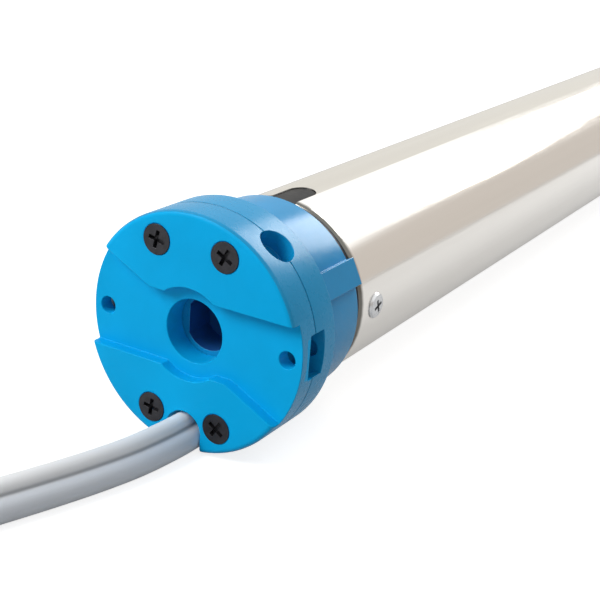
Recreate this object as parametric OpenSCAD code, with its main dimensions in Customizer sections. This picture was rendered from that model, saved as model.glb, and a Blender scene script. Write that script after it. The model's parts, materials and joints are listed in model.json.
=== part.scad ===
// Tubular motor for a roller blind. Millimetres, +X along the motor from its head to its output end, +Z up.
// The origin is the centre of the recess floor in the head's front, where the wall bracket seats.

/* [Head] */
// Diameter of the head
head_d = 54; // [53:0.5:58]
// Thickness of the front cover, from its face to the seam
cover_thick = 8.3; // [7.5:0.1:9]
// Thickness of the flange behind the seam
flange_thick = 8.1; // [8:0.1:12]
// Depth of the recess for the wall bracket
recess_deep = 2.7; // [1.5:0.1:3.2]
// Height of the recess between its two walls
recess_h = 16.8; // [16:0.2:19]
// Diameter of the round bay in the recess walls
bay_d = 21; // [19:0.5:24]
// Diameter of the bracket socket
socket_d = 14.4; // [12.8:0.2:16]
// Width across the flats of the inner socket
socket_flats = 10.2; // [8:0.1:11.4]
// Sideways distance of the face screws from the middle
face_screw_side = 8.6; // [8.2:0.1:9.4]
// Height of the face screws from the middle
face_screw_up = 19.4; // [18.8:0.1:20]
// Distance between the two bracket holes
bracket_span = 46.6; // [45:0.2:48]
// Diameter of the bracket holes
bracket_hole_d = 3.9; // [3:0.1:4.4]
// Width of the cable notch
notch_w = 9; // [8.8:0.1:10]
// Diameter of the setting holes in the head's side
setting_hole_d = 8.2; // [6.5:0.1:9]
// Width of the nut slots along the motor
nut_slot_w = 5.3; // [4.2:0.1:5.6]
// Height of the nut slots
nut_slot_h = 10; // [8:0.2:11]

/* [Crown ring] */
// Diameter of the crown ring and of the drive wheel, which turn inside the roller tube
crown_d = 47.1; // [46.6:0.1:50]
// Length of the crown ring
crown_len = 16.1; // [14:0.1:20]
// Width of the key on the crown ring and the drive wheel
key_w = 6.2; // [4:0.2:8]
// Height of the key above the ring
key_proud = 1.3; // [0.6:0.1:2]

/* [Tube] */
// Diameter of the motor tube
tube_d = 45; // [44.8:0.1:46]
// Wall thickness of the motor tube
tube_wall = 1; // [0.8:0.1:1.1]
// Width of the notch at the top of the tube's end
tube_notch_w = 7; // [6:0.2:10]
// Length of the notch in the tube's end
tube_notch_len = 12; // [8:0.5:14]

/* [Limit switches] */
// Turns of the crown ring from the middle to each end of the limit screws
limit_turns = 9.25; // [6:0.25:12]
// Lead of the limit screws
screw_lead = 0.4; // [0.3:0.05:0.6]

/* [Drive] */
// Length of the capacitor
capacitor_len = 60; // [40:1:80]
// Diameter of the capacitor
capacitor_d = 32; // [26:1:34]
// Length of the laminated stator and rotor
stack_len = 70; // [50:2:100]
// Width of the gears in each stage
gear_w = 10; // [7:0.5:12]
// Length of the drive wheel
wheel_len = 16; // [12:0.5:22]

/* [Hidden] */
$fn = 64;

// Clearances: a seat, a turning shaft, the end play of a turning piece, and a piece that slides freely
seat_gap = 0.1;
shaft_gap = 0.05;
end_play = 0.3;
free_gap = 0.4;
cut = 1;

// Radii of the tube and what it holds
tube_r = tube_d / 2;
tube_in_r = tube_r - tube_wall;
fill_r = tube_in_r - seat_gap;
head_r = head_d / 2;
crown_r = crown_d / 2;

// Gears: module, and how far a tooth stands in and out of the pitch circle
tooth_m = 0.8;
tip_in = 0.65;
root_out = 1.05;
tooth_root_half = 0.73;
tooth_tip_half = 0.25;
crown_teeth = 51;
pinion_teeth = 11;
sun_teeth = 10;
planet_teeth = 17;
ring_teeth = sun_teeth + 2 * planet_teeth;
crown_tip_r = tooth_m * crown_teeth / 2 - tip_in;
crown_root_r = tooth_m * crown_teeth / 2 + root_out;
screw_off = tooth_m * (crown_teeth - pinion_teeth) / 2;
planet_off = tooth_m * (sun_teeth + planet_teeth) / 2;

// Head, along the motor
face_x = -recess_deep;
seam_x = face_x + cover_thick;
head_back = seam_x + flange_thick;
edge_round = 1.2;
rear_edge = 0.5;
seam_edge = 0.15;
flare_start = 10.2;
flare_angle = 26.7;
socket_deep = 7.8;
socket_in_r = 6.1;
socket_cup_r = 8.4;
socket_cup_wall = 1.6;
beyond = 5;
neck_flange_len = 2;
neck_flange_r = 23.2;
web_x = head_back - neck_flange_len;
crown_bore_r = crown_tip_r - 0.05;
neck_r = crown_bore_r - seat_gap;
neck_in_r = neck_r - 1.4;
notch_mid_z = 4.6 - head_r;
pocket_x = seam_x + 4.3;
chamber_len = 2.8;
chamber_half = 4.4;
chamber_z = 3 - head_r;
chamber_h = 10;
nut_slot_deep = 7.6;
nut_slot_x = seam_x - 2;
nut_relief_w = 1.5;
nut_relief_deep = 0.4;
nut_relief_h = 11.4;
setting_deep = 4.4;
setting_angle = 126.2;
bracket_hole_deep = web_x - 0.7;

// Screws: shaft, head and cross recess
screw_r = 1.5;
face_screw_head_r = 3.35;
face_screw_cone = 1.9;
face_screw_proud = 0.15;
face_screw_rim = 0.35;
face_screw_tip = head_back - 0.3;
cross_w = 0.9;
cross_l = 4;
cross_deep = 1.3;
face_screw_turns = [12, 28, 8, 35];

// Crown ring
crown_x0 = head_back + end_play;
crown_x1 = crown_x0 + crown_len;
crown_gear_len = 6;
key_angle = 153.3;
key_inset = 0.15;
key_over = 0.2;
crown_edge = 0.4;

// Front end of the tube, and the limit unit
housing_x0 = crown_x1 + end_play;
collar_lip = 2.5;
collar_r = tube_r - 0.5;
tube_x0 = housing_x0 + collar_lip;
neck_x1 = tube_x0 + 12.1;
tube_screw_x = tube_x0 + 7.5;
housing_in_r = neck_r + seat_gap;
tab_low = 0.3;
tube_edge = 0.9;
wall_len = 3;
wall_a = neck_x1 + 0.2;
switch_len = 6;
switch_low = 5;
switch_high = 11;
switch_half = 3;
lever_gap = 1;
lever_thick = 0.6;
lever_half = 2;
pivot_off = 4.1;
pivot_r = 0.5;
hub_r = 0.95;
press_r = 0.8;
press_off = 9;
nut_len = 6;
nut_half = 3;
nut_low = 12.8;
nut_high = 19.1;
nut_foot = 11;
rail_low = 17;
rail_w = 1.2;
limit_screw_r = 2;
limit_up_angle = 60;
limit_down_angle = 120;
journal_r = 1.5;
journal_len = 2.5;
nut_travel = limit_turns * crown_teeth / pinion_teeth * screw_lead;
switch_a = wall_a + wall_len;
lever_a = switch_a + switch_len + lever_gap;
nut_mid = lever_a + lever_thick + free_gap + nut_len / 2 + nut_travel;
lever_b = nut_mid + nut_travel + nut_len / 2 + free_gap;
switch_b = lever_b + lever_thick + lever_gap;
wall_b = switch_b + switch_len;
housing_x1 = wall_b + wall_len;
window_x = crown_x1 - crown_gear_len + 0.1;
adjuster_r = 2.4;
adjuster_len = 3.1;
adjuster_low = head_r - setting_deep - adjuster_len;
adjuster_stem = 4.5;
adjuster_key = 1.7;

// Wiring and capacitor
board_thick = 1.6;
board_w = 34;
board_len = 30;
board_z = -2;
block_len = 12;
block_w = 18;
block_h = 9;
block_x = housing_x1 + 2;
core_r = 0.8;
core_step = 2.2;
core_bay_half = 6;
core_z = -8;
core_start_z = 5.6 - head_r;
wire_gap = 0.2;
wire_z = -17.2;
wire_bay_half = 4;
capacitor_x = housing_x1 + board_len + 8;
capacitor_x1 = capacitor_x + capacitor_len;
capacitor_r = capacitor_d / 2;
ring_len = 4;
capacitor_top_r = 4;
capacitor_top_len = 3;

// Motor
shaft_r = 4;
bell_len = 4;
bell_wall = 2;
bell_x = capacitor_x1 + capacitor_top_len + 5.6;
bush_r = 7;
bush_len = 9;
bell_deep = 18;
stator_x = bell_x + bell_deep;
stator_x1 = stator_x + stack_len;
bell_b_x1 = stator_x1 + bell_deep;
bell_boss_r = 9;
bore_r = 12.5;
air_gap = 0.3;
rotor_r = bore_r - air_gap;
slots = 12;
slot_w = 3;
slot_r = 18;
winding_len = 6.5;
winding_in_r = 13.4;
winding_gap = 0.1;
end_ring_len = 4;
end_ring_in_r = 7.5;

// Brake
brake_x = bell_b_x1;
yoke_len = 16;
coil_in_r = 9.3;
coil_out_r = 15.7;
coil_len = 11;
yoke_x1 = brake_x + yoke_len;
armature_gap = 0.4;
armature_len = 3;
armature_r = 18;
disc_len = 4;
disc_r = 17;
disc_x = yoke_x1 + armature_gap + armature_len + 0.2;
spring_r = 6.3;
spring_wire = 0.5;
spring_turns = 6;
spring_len = 7.5;
flange_x = disc_x + disc_len + 0.3;
flange_len = 4;
brake_skirt = 1;

// Gearbox
gears_x = flange_x + flange_len + 2;
plate_len = 3;
plate_gap = 0.4;
stage_len = gear_w + 2 * plate_gap + plate_len + 5.2;
plate_r = 14.2;
pin_r = 1.5;
gears_x1 = gears_x + 3 * stage_len - 2;
third_plate_len = 5;
output_r = 7;
cap_x0 = gears_x1 + 0.2;
cap_len = 27.7;
tube_x1 = cap_x0 + cap_len;
cap_lip = 2;
bearing_len = 8;
bearing_r = 12;
bearing_in = 2;
cap_screw_back = 9;
cap_screw_tip = 15;
cap_screw_angles = [45, 135, 225, 315];
wheel_x0 = tube_x1 + cap_lip + 1.5;
wheel_x1 = wheel_x0 + wheel_len;
square_w = 9.6;
square_gap = 0.1;
hub_out_r = 9.5;
wheel_wall = 2.2;
wheel_arms = 6;
arm_w = 2.4;
arm_inset = 0.6;
washer_len = 1.2;
washer_r = 6.6;
wheel_screw_r = 2;
wheel_screw_len = 12;

// Cable: two lobes side by side in one sheath, lying on the surface that the head's lowest point rests on
floor_z = -head_r;
big_lobe_r = 2.9;
small_lobe_r = 2.1;
lobe_step = 3.9;
cable_w = big_lobe_r + lobe_step + small_lobe_r;
big_at = big_lobe_r - cable_w / 2;
small_at = cable_w / 2 - small_lobe_r;
entry_tilt = -30;
twist_from = 8;
// Route of the free stretch as x and y, from inside the notch to the hank
lead_points = [[5.6, -0.5], [-2.7, -0.5], [-10, 0], [-18, 1.1], [-26, 3], [-34, 5.4], [-42, 8.1], [-50, 11],
    [-58, 14], [-66, 17], [-74, 20.2], [-82, 23.5], [-91, 27.2]];

// Hank: loops with two runs and two folds, standing on edge in four layers; the spiral turns back in the
// middle of a run, and every run is drawn in and lifted where the tie goes round it
hank_start = [-103, 32.1];
hank_gap = 0.5;
hank_layer = cable_w + hank_gap;
hank_pitch = 6.8;
hank_run = 65;
fold_r = 26.7;
hank_draw = 8;
loop_steps = 24;
run_steps = 4;
fold_steps = 8;
first_step = -1;
turn_back = 38;
layer_steps = 36;
last_step = 136;
tie_w = 8;
tie_thick = 1.2;
tie_gap = 0.5;
tie_round = 3;
end_core_len = 22;
// Places of the stripped cores across and up, where they leave the sheath and where they rest
cores_leave = [[-0.95, -2.5], [0.95, -2.5], [0, -0.6], [0, 2.35]];
cores_rest = [[-0.95, -4.1], [0.95, -4.1], [-1.1, -2.4], [1.1, -2.4]];
wire_sides = 6;

// Points and frames along a path

function unit(v) = v / norm(v);

// Direction of the path at point i
function heading(p, i) = unit(p[min(i + 1, len(p) - 1)] - p[max(i - 1, 0)]);

// Level direction to the left of the path at point i
function leftward(p, i) = let(h = heading(p, i)) unit([-h[1], h[0], 0]);

// One tube swept along the points p: at each point the outline's first value runs along the tilted
// upright direction and its second across it
module sweep(p, outline, tilts) {
    n = len(outline);
    m = len(p);
    points = [for (i = [0:m - 1])
        let(h = heading(p, i), s = leftward(p, i), u = cross(h, s), t = tilts[i])
        let(along = u * cos(t) + s * sin(t), over = s * cos(t) - u * sin(t))
        for (q = outline) p[i] + q[0] * along + q[1] * over];
    sides = [for (i = [0:m - 2], k = [0:n - 1])
        let(a = i * n + k, b = i * n + (k + 1) % n)
        [a, b, b + n, a + n]];
    first = [[for (k = [0:n - 1]) n - 1 - k]];
    last = [[for (k = [0:n - 1]) (m - 1) * n + k]];
    polyhedron(points = points, faces = concat(sides, first, last), convexity = 6);
}

function ring_outline(r, sides) = [for (k = [0:sides - 1]) r * [cos(360 * k / sides), sin(360 * k / sides)]];

function level(n) = [for (i = [0:n - 1]) 0];

// Round wire along the points p
module wire(p, r) sweep(p, ring_outline(r, wire_sides), level(len(p)));

// Placing: local X, Y and Z become the motor's Y, Z and X
module on_axis(x = 0) translate([x, 0, 0]) rotate([90, 0, 90]) children();

// Turns a piece built above the axis to the angle a, counted from +Y towards +Z
module at_angle(a) rotate([a - 90, 0, 0]) children();

module rod(x0, x1, r) on_axis(x0) cylinder(h = x1 - x0, r = r);

module pipe(x0, x1, r, bore) difference() {
    rod(x0, x1, r);
    rod(x0 - cut, x1 + cut, bore);
}

// Cylinder along the motor at the limit screw's distance from the axis, at the angle a
module offset_rod(a, x0, x1, r, off = screw_off) at_angle(a) translate([x0, 0, off]) rotate([0, 90, 0])
    cylinder(h = x1 - x0, r = r);

// Cylinder that points away from the axis at the angle a, from radius r0 to radius r1
module spoke(a, x, r0, r1, r) at_angle(a) translate([x, 0, r0]) cylinder(h = r1 - r0, r = r);

// Round disc along local Z with its first edge rounded and its last edge chamfered
module soft_disc(r, h, round_r, chamfer) rotate_extrude() polygon(concat(
    [[0, 0]],
    [for (k = [0:6]) [r - round_r + round_r * sin(15 * k), round_r - round_r * cos(15 * k)]],
    [[r, h - chamfer], [r - chamfer, h], [0, h]]));

// Outline of an outside gear with straight flanks, a tooth centred on the angle turn
module gear_outline(teeth, turn = 0, root = root_out, tip = tip_in) {
    pitch_r = tooth_m * teeth / 2;
    polygon([for (i = [0:teeth - 1], c = [[-tooth_root_half, pitch_r - root], [-tooth_tip_half, pitch_r + tip],
        [tooth_tip_half, pitch_r + tip], [tooth_root_half, pitch_r - root]])
        let(a = turn + 360 * i / teeth + c[0] / c[1] * 180 / PI)
        c[1] * [cos(a), sin(a)]]);
}

// Hole of an inside gear, a tooth gap centred on the angle turn
module ring_gear_outline(teeth, tip_r, root_r, turn = 0) {
    polygon([for (i = [0:teeth - 1], c = [[-tooth_root_half, root_r], [-tooth_tip_half, tip_r],
        [tooth_tip_half, tip_r], [tooth_root_half, root_r]])
        let(a = turn + 360 * (i + 0.5) / teeth + c[0] / c[1] * 180 / PI)
        c[1] * [cos(a), sin(a)]]);
}

// Cross recess cut down from local Z = 0
module cross_recess(turn = 0, w = cross_w, l = cross_l, deep = cross_deep) {
    for (a = [turn, turn + 90]) {
        rotate(a) translate([-l / 2, -w / 2, -deep]) cube([l, w, deep + cut]);
    }
}

// Head

module recess_outline() {
    h = recess_h / 2;
    far = head_r + beyond;
    rise = (far - flare_start) * tan(flare_angle);
    polygon([[far, h + rise], [flare_start, h], [-far, h], [-far, -h - rise], [-flare_start, -h], [far, -h]]);
    circle(d = bay_d);
}

module notch_cut() on_axis(face_x - cut) linear_extrude(pocket_x - face_x + cut) {
    translate([0, notch_mid_z]) circle(d = notch_w);
    translate([-notch_w / 2, -head_r - beyond]) square([notch_w, head_r + beyond + notch_mid_z]);
}

// Everything that is cut into both the cover and the flange behind it
module head_cuts() {
    notch_cut();
    for (side = [-1, 1]) {
        on_axis(0) translate([side * bracket_span / 2, 0, 0])
            cylinder(h = bracket_hole_deep, d = bracket_hole_d);
        on_axis(nut_slot_x)
            translate([side > 0 ? head_r - nut_slot_deep : -head_r - beyond, -nut_slot_h / 2, 0])
            cube([nut_slot_deep + beyond, nut_slot_h, nut_slot_w]);
        on_axis(nut_slot_x - nut_relief_w)
            translate([side > 0 ? head_r - nut_relief_deep : -head_r - beyond, -nut_relief_h / 2, 0])
            cube([nut_relief_deep + beyond, nut_relief_h, nut_relief_w]);
    }
    for (a = [setting_angle, 180 - setting_angle]) {
        spoke(a, seam_x, head_r - setting_deep, head_r + beyond, setting_hole_d / 2);
        spoke(a, seam_x, adjuster_low - shaft_gap, head_r, adjuster_r + shaft_gap);
        spoke(a, seam_x, adjuster_low - adjuster_stem - seat_gap, head_r, journal_r + shaft_gap);
    }
}

module at_face_screws() {
    for (i = [0:3]) {
        side = i % 2 == 0 ? 1 : -1;
        up = i < 2 ? 1 : -1;
        on_axis(face_x) translate([side * face_screw_side, up * face_screw_up, 0]) rotate(face_screw_turns[i])
            children();
    }
}

module head_cover() color([0.05, 0.62, 0.86]) difference() {
    on_axis(face_x) soft_disc(head_r, cover_thick, edge_round, seam_edge);
    on_axis(face_x - cut) linear_extrude(recess_deep + cut) recess_outline();
    rod(-cut, seam_x + cut, socket_d / 2);
    at_face_screws() {
        translate([0, 0, -cut]) cylinder(h = cover_thick + 2 * cut, r = screw_r + seat_gap);
        translate([0, 0, -cut])
            cylinder(h = cut + face_screw_rim - face_screw_proud, r = face_screw_head_r + seat_gap);
        translate([0, 0, face_screw_rim - face_screw_proud])
            cylinder(h = face_screw_cone, r1 = face_screw_head_r + seat_gap, r2 = screw_r + seat_gap);
    }
    head_cuts();
}

module socket_hole() on_axis(seam_x - cut) linear_extrude(socket_deep + cut) intersection() {
    circle(r = socket_in_r);
    square([socket_flats, 3 * socket_in_r], center = true);
}

module head_body() color([0.1, 0.5, 0.76]) difference() {
    union() {
        difference() {
            on_axis(seam_x) soft_disc(head_r, flange_thick, seam_edge, rear_edge);
            rod(web_x, head_back + cut, neck_flange_r + seat_gap);
        }
        rod(web_x - cut, seam_x + socket_deep + socket_cup_wall, socket_cup_r);
    }
    socket_hole();
    head_cuts();
    at_face_screws() cylinder(h = web_x + cut - face_x, r = screw_r + seat_gap);
    core_chamber();
    for (a = [limit_up_angle, limit_down_angle]) {
        offset_rod(a, web_x - journal_len, web_x + cut, journal_r + shaft_gap);
    }
}

// Space through which the cores pass from the cable's pocket into the neck
module core_chamber() translate([pocket_x - cut, -chamber_half, chamber_z])
    cube([chamber_len + cut, 2 * chamber_half, chamber_h]);

// Flanged pipe that the face screws hold in the back of the head; the crown ring turns on it
module head_neck() color([0.12, 0.12, 0.13]) difference() {
    union() {
        pipe(web_x, head_back, neck_flange_r, neck_in_r);
        pipe(web_x, neck_x1, neck_r, neck_in_r);
    }
    core_chamber();
    at_face_screws() cylinder(h = head_back + cut - face_x, r = screw_r);
    for (a = [limit_up_angle, limit_down_angle]) {
        at_angle(a) translate([window_x, -pinion_bay / 2, screw_off - 3])
            cube([crown_gear_len + 0.2, pinion_bay, 10]);
    }
    for (a = [0, 180]) spoke(a, tube_screw_x, neck_in_r - beyond, neck_r + beyond, screw_r);
}
pinion_bay = tooth_m * pinion_teeth + 2 * tip_in + 1.2;

module face_screws() color([0.27, 0.27, 0.28]) at_face_screws() difference() {
    translate([0, 0, -face_screw_proud]) {
        cylinder(h = face_screw_rim, r = face_screw_head_r);
        translate([0, 0, face_screw_rim])
            cylinder(h = face_screw_cone, r1 = face_screw_head_r, r2 = screw_r);
        cylinder(h = face_screw_tip - face_x, r = screw_r);
    }
    translate([0, 0, -face_screw_proud]) mirror([0, 0, 1]) cross_recess();
}

// Cable

function lobe_point(at, r, a) = [at + r * cos(a), r * sin(a)];

// Outline of the sheath with 12 points: the two creases, five points on each lobe
crease_at = (lobe_step * lobe_step + big_lobe_r * big_lobe_r - small_lobe_r * small_lobe_r) / (2 * lobe_step);
crease_half = sqrt(big_lobe_r * big_lobe_r - crease_at * crease_at);
cable_outline = concat(
    [[big_at + crease_at, crease_half]],
    [for (a = [80, 130, 180, 230, 280]) lobe_point(big_at, big_lobe_r, a)],
    [[big_at + crease_at, -crease_half]],
    [for (a = [-88, -42, 0, 42, 88]) lobe_point(small_at, small_lobe_r, a)]);
side_half = 2.5;
hank_outline = [[-cable_w / 2, 0], [-side_half, -big_lobe_r], [side_half, -big_lobe_r], [cable_w / 2, 0],
    [side_half, big_lobe_r], [-side_half, big_lobe_r]];

// The sheath keeps its tilt where it lies free, then turns upright before the hank
upright_from = len(lead_points) - 2;
lead_tilts = [for (i = [0:len(lead_points) - 1])
    entry_tilt * max(0, min(1, (upright_from - i) / (upright_from - twist_from)))];

// Height of the sheath's middle when its lowest side touches the surface
function lying_z(tilt) = floor_z + big_lobe_r - big_at * cos(tilt);

lead_path = [for (i = [0:len(lead_points) - 1])
    [lead_points[i][0], lead_points[i][1], lying_z(lead_tilts[i])]];

module cable_entry() color([0.78, 0.79, 0.81]) on_axis(seam_x) linear_extrude(pocket_x - 0.2 - seam_x)
    translate([lead_path[0][1], lead_path[0][2]]) rotate(90 + entry_tilt) {
        translate([big_at, 0]) circle(r = big_lobe_r);
        translate([small_at, 0]) circle(r = small_lobe_r);
    }

module cable_wedge() color([0.95, 0.95, 0.93]) translate([seam_x + 0.2, wedge_y, wedge_z])
    cube([pocket_x - seam_x - 0.6, notch_w / 2 - seat_gap - wedge_y, wedge_h]);
wedge_y = 2.75;
wedge_z = 2.4 - head_r;
wedge_h = 2.6;

module cable_lead() color([0.78, 0.79, 0.81]) sweep(lead_path, cable_outline, lead_tilts);

// Steps of the spiral between step i and the innermost turn
function steps_out(i) = i < turn_back
    ? turn_back - i
    : abs((i - turn_back + layer_steps) % (2 * layer_steps) - layer_steps);
function loop_r(i) = fold_r + hank_pitch * steps_out(i) / loop_steps;
function ease(t) = let(s = min(1, max(0, t))) s * s * (3 - 2 * s);
function drawn(s) = pow(sin(180 * s), 2);

// Layer of step i: it rises by one along each run in which the spiral turns back
function layers_up(i) = ease((i - turn_back) / run_steps + 0.5)
    + ease((i - turn_back - layer_steps) / run_steps + 0.5)
    + ease((i - turn_back - 2 * layer_steps) / run_steps + 0.5);

// Point of step i from the middle of the near folds: a run, the far fold, the run back and the near fold
function hank_point(i) =
    let(j = (i + loop_steps) % loop_steps, r = loop_r(i))
    let(z = floor_z + cable_w / 2 + hank_layer * layers_up(i))
    let(half = run_steps + fold_steps, side = j < half ? 1 : -1, k = j % half, s = k / run_steps)
    let(turned = 90 + 180 * (k - run_steps) / fold_steps)
    k < run_steps
    ? [side > 0 ? -hank_run * s : hank_run * (s - 1), side * (r - hank_draw * drawn(s)),
        z + hank_rise * drawn(s)]
    : [side * r * cos(turned) - (side > 0 ? hank_run : 0), side * r * sin(turned), z];

hank_rise = tie_thick + 2 * tie_gap;
near_mid = hank_start - [hank_point(first_step)[0], hank_point(first_step)[1]];
near_fold = [near_mid[0], near_mid[1], 0];
hank_turns = [for (i = [first_step:last_step]) near_fold + hank_point(i)];
hank_path = concat([lead_path[len(lead_path) - 1]], hank_turns);

// Least gap between turns of the hank, measured from its points across the level, the upright and the
// slanted sides of its outline
slant_way = unit([big_lobe_r, cable_w / 2 - side_half]);
function turn_gap(i, k) =
    let(d = hank_turns[i] - hank_turns[k], along = abs(d * heading(hank_turns, i)))
    let(r = along < cable_w ? abs(d * leftward(hank_turns, i)) : norm([d[0], d[1]]), z = abs(d[2]))
    max(r - 2 * big_lobe_r, z - cable_w, z * slant_way[0] + r * slant_way[1] - cable_w * slant_way[0]);
hank_least_gap = min([for (i = [0:len(hank_turns) - 1], k = [i + loop_steps / 2:1:len(hank_turns) - 1])
    turn_gap(i, k)]);
echo(hank_least_gap_mm = hank_least_gap);

function path_length(p) = len(p) < 2 ? 0 : norm_sum(p, len(p) - 1);
function norm_sum(p, i) = i == 0 ? 0 : norm(p[i] - p[i - 1]) + norm_sum(p, i - 1);
echo(cable_length_mm = path_length(lead_path) + path_length(hank_path));

module cable_hank() color([0.78, 0.79, 0.81]) sweep(hank_path, hank_outline, level(len(hank_path)));

// Strap round both sides of the hank at its waist
tie_room = big_lobe_r + tie_gap + hank_draw * tie_w * run_steps / hank_run / 4;
tie_near_y = near_fold[1] - loop_r(run_steps * 1.5 + fold_steps) + hank_draw - tie_room;
tie_far_y = near_fold[1] + loop_r(run_steps / 2) - hank_draw + tie_room;
tie_top_z = floor_z + hank_rise + 4 * hank_layer - hank_gap + tie_gap;
module tie_outline(grow) offset(r = tie_round + grow) offset(delta = -tie_round)
    translate([tie_near_y, floor_z + tie_thick])
    square([tie_far_y - tie_near_y, tie_top_z - floor_z - tie_thick]);
module cable_tie() color([0.1, 0.1, 0.1]) on_axis(near_fold[0] - (hank_run + tie_w) / 2) linear_extrude(tie_w)
    difference() {
        tie_outline(tie_thick);
        tie_outline(0);
    }

// Four stripped cores that go straight out of the sheath, then lie along the near fold on the turn below
module cable_end_cores() {
    core_colors = [[0.12, 0.32, 0.72], [0.42, 0.25, 0.14], [0.1, 0.1, 0.1], [0.35, 0.62, 0.2]];
    last = len(hank_turns) - 1;
    end = hank_turns[last];
    way = heading(hank_turns, last);
    left = leftward(hank_turns, last);
    for (i = [0:3]) color(core_colors[i]) wire(concat(
        [for (t = [0, 1.5]) end + way * t + left * cores_leave[i][0] + cross(way, left) * cores_leave[i][1]],
        [for (t = [0.25:0.125:1])
            let(place = cores_leave[i] + (cores_rest[i] - cores_leave[i]) * ease(t))
            let(r = loop_r(last_step) - t * 1.3 - place[0], a = -90 + end_core_len * t / r * 180 / PI)
            [near_fold[0] + r * cos(a), near_fold[1] + r * sin(a), end[2] + place[1]]]), core_r);
}

// Four cores from the sheath's end to the terminal block
module inner_cores() color([0.3, 0.3, 0.32]) {
    for (i = [0:3]) {
        y = (i - 1.5) * core_step - 0.3;
        wire([[pocket_x - 0.2, y * 0.75, core_start_z], [pocket_x + 0.3, y * 0.75, core_start_z],
            [pocket_x + 1.1, y, -19], [web_x + 0.2, y, -16],
            [head_back + 2, y, -14.2], [head_back + 8, y, -13.6], [wall_a - 3, y, -9],
            [wall_a + 6, y, core_z], [block_x, y, core_z]], core_r);
    }
}

// Crown ring

module key_bar(x0, x1) at_angle(key_angle) translate([x0, -key_w / 2, crown_r - 1])
    cube([x1 - x0, key_w, key_proud + 1]);

module crown_ring() color([0.3, 0.52, 0.74]) union() {
    difference() {
        on_axis(crown_x0) soft_disc(crown_r, crown_len, crown_edge, crown_edge);
        rod(crown_x0 - cut, crown_x1 + cut, crown_bore_r);
        on_axis(crown_x1 - crown_gear_len) linear_extrude(crown_gear_len + cut)
            ring_gear_outline(crown_teeth, crown_tip_r, crown_root_r, limit_up_angle);
    }
    key_bar(crown_x0 + key_inset, crown_x1 + key_over);
}

// Limit unit

module limit_housing() color([0.12, 0.12, 0.13]) difference() {
    union() {
        pipe(housing_x0, tube_x0, collar_r, housing_in_r);
        pipe(tube_x0 - cut, housing_x1, fill_r, housing_in_r);
        housing_tab();
        housing_walls();
        for (a = [limit_up_angle, limit_down_angle], side = [-1, 1]) {
            rail_y = side * (nut_half + end_play + rail_w / 2) - rail_w / 2;
            at_angle(a) translate([wall_a + wall_len - cut, rail_y, rail_low])
                cube([wall_b - wall_a - wall_len + 2 * cut, rail_w, rail_reach - rail_low]);
        }
    }
    translate([wall_a - cut, -core_bay_half, core_z - 9])
        cube([wall_len + 2 * cut, 2 * core_bay_half, 12]);
    translate([wall_b - cut, -core_bay_half, core_z - 9])
        cube([wall_len + 2 * cut, 2 * core_bay_half, 12]);
    translate([housing_x1 - board_grip, -board_w / 2 - seat_gap, board_z - board_thick / 2 - 0.05])
        cube([board_grip + cut, board_w + 2 * seat_gap, board_thick + 0.1]);
    for (a = [limit_up_angle, limit_down_angle]) {
        offset_rod(a, wall_a - cut, wall_a + wall_len + cut, limit_screw_r + shaft_gap);
        offset_rod(a, wall_b - cut, wall_b + journal_len + 2 * cut, journal_r + shaft_gap);
    }
    for (a = [0, 180]) spoke(a, tube_screw_x, housing_in_r - beyond, tube_r + beyond, screw_r + shaft_gap);
}
board_grip = 2;
rail_reach = sqrt(housing_in_r * housing_in_r - pow(nut_half + end_play + rail_w, 2)) + 0.4;

// Tongue of the housing that fills the notch at the top of the tube's end
module housing_tab() intersection() {
    pipe(tube_x0 - cut, housing_x1, tube_r - tab_low, housing_in_r);
    linear_extrude(tube_r + 1) tongue_outline(tube_notch_w - 2 * seat_gap, tube_notch_len - seat_gap);
}

module tongue_outline(w, len) {
    translate([tube_x0 - cut, -w / 2]) square([len - w / 2 + cut, w]);
    translate([tube_x0 + len - w / 2, 0]) circle(d = w);
}

module housing_walls() {
    rod(wall_a, wall_a + wall_len, housing_in_r + 0.5);
    rod(wall_b, wall_b + wall_len, housing_in_r + 0.5);
}

// Threaded rod with its pinion, which the crown ring's inside teeth turn
module limit_screw(a) {
    step = 360 / crown_teeth;
    ahead = (a - limit_up_angle) / step;
    phase = 90 - (ahead - floor(ahead)) * 360 / pinion_teeth;
    color([0.93, 0.9, 0.82]) difference() {
        union() {
            offset_rod(a, web_x - journal_len + 0.1, window_x + 1, journal_r);
            at_angle(a) translate([0, 0, screw_off]) on_axis(window_x + 0.4)
                linear_extrude(crown_gear_len - 0.9) gear_outline(pinion_teeth, phase);
            offset_rod(a, window_x + 1, wall_b - 0.1, limit_screw_r);
            offset_rod(a, wall_b - cut, wall_b + journal_len, journal_r);
        }
    }
}
module limit_screw_up() limit_screw(limit_up_angle);
module limit_screw_down() limit_screw(limit_down_angle);

module limit_nut(a) color([0.85, 0.2, 0.15]) at_angle(a) difference() {
    union() {
        translate([nut_mid - nut_len / 2, -nut_half, nut_low])
            cube([nut_len, 2 * nut_half, nut_high - nut_low]);
        translate([nut_mid - nut_len / 2, -lever_half, nut_foot])
            cube([nut_len, 2 * lever_half, nut_low - nut_foot]);
    }
    translate([nut_mid - nut_len, 0, screw_off]) rotate([0, 90, 0])
        cylinder(h = 2 * nut_len, r = limit_screw_r + shaft_gap);
}
module limit_nut_up() limit_nut(limit_up_angle);
module limit_nut_down() limit_nut(limit_down_angle);

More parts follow.
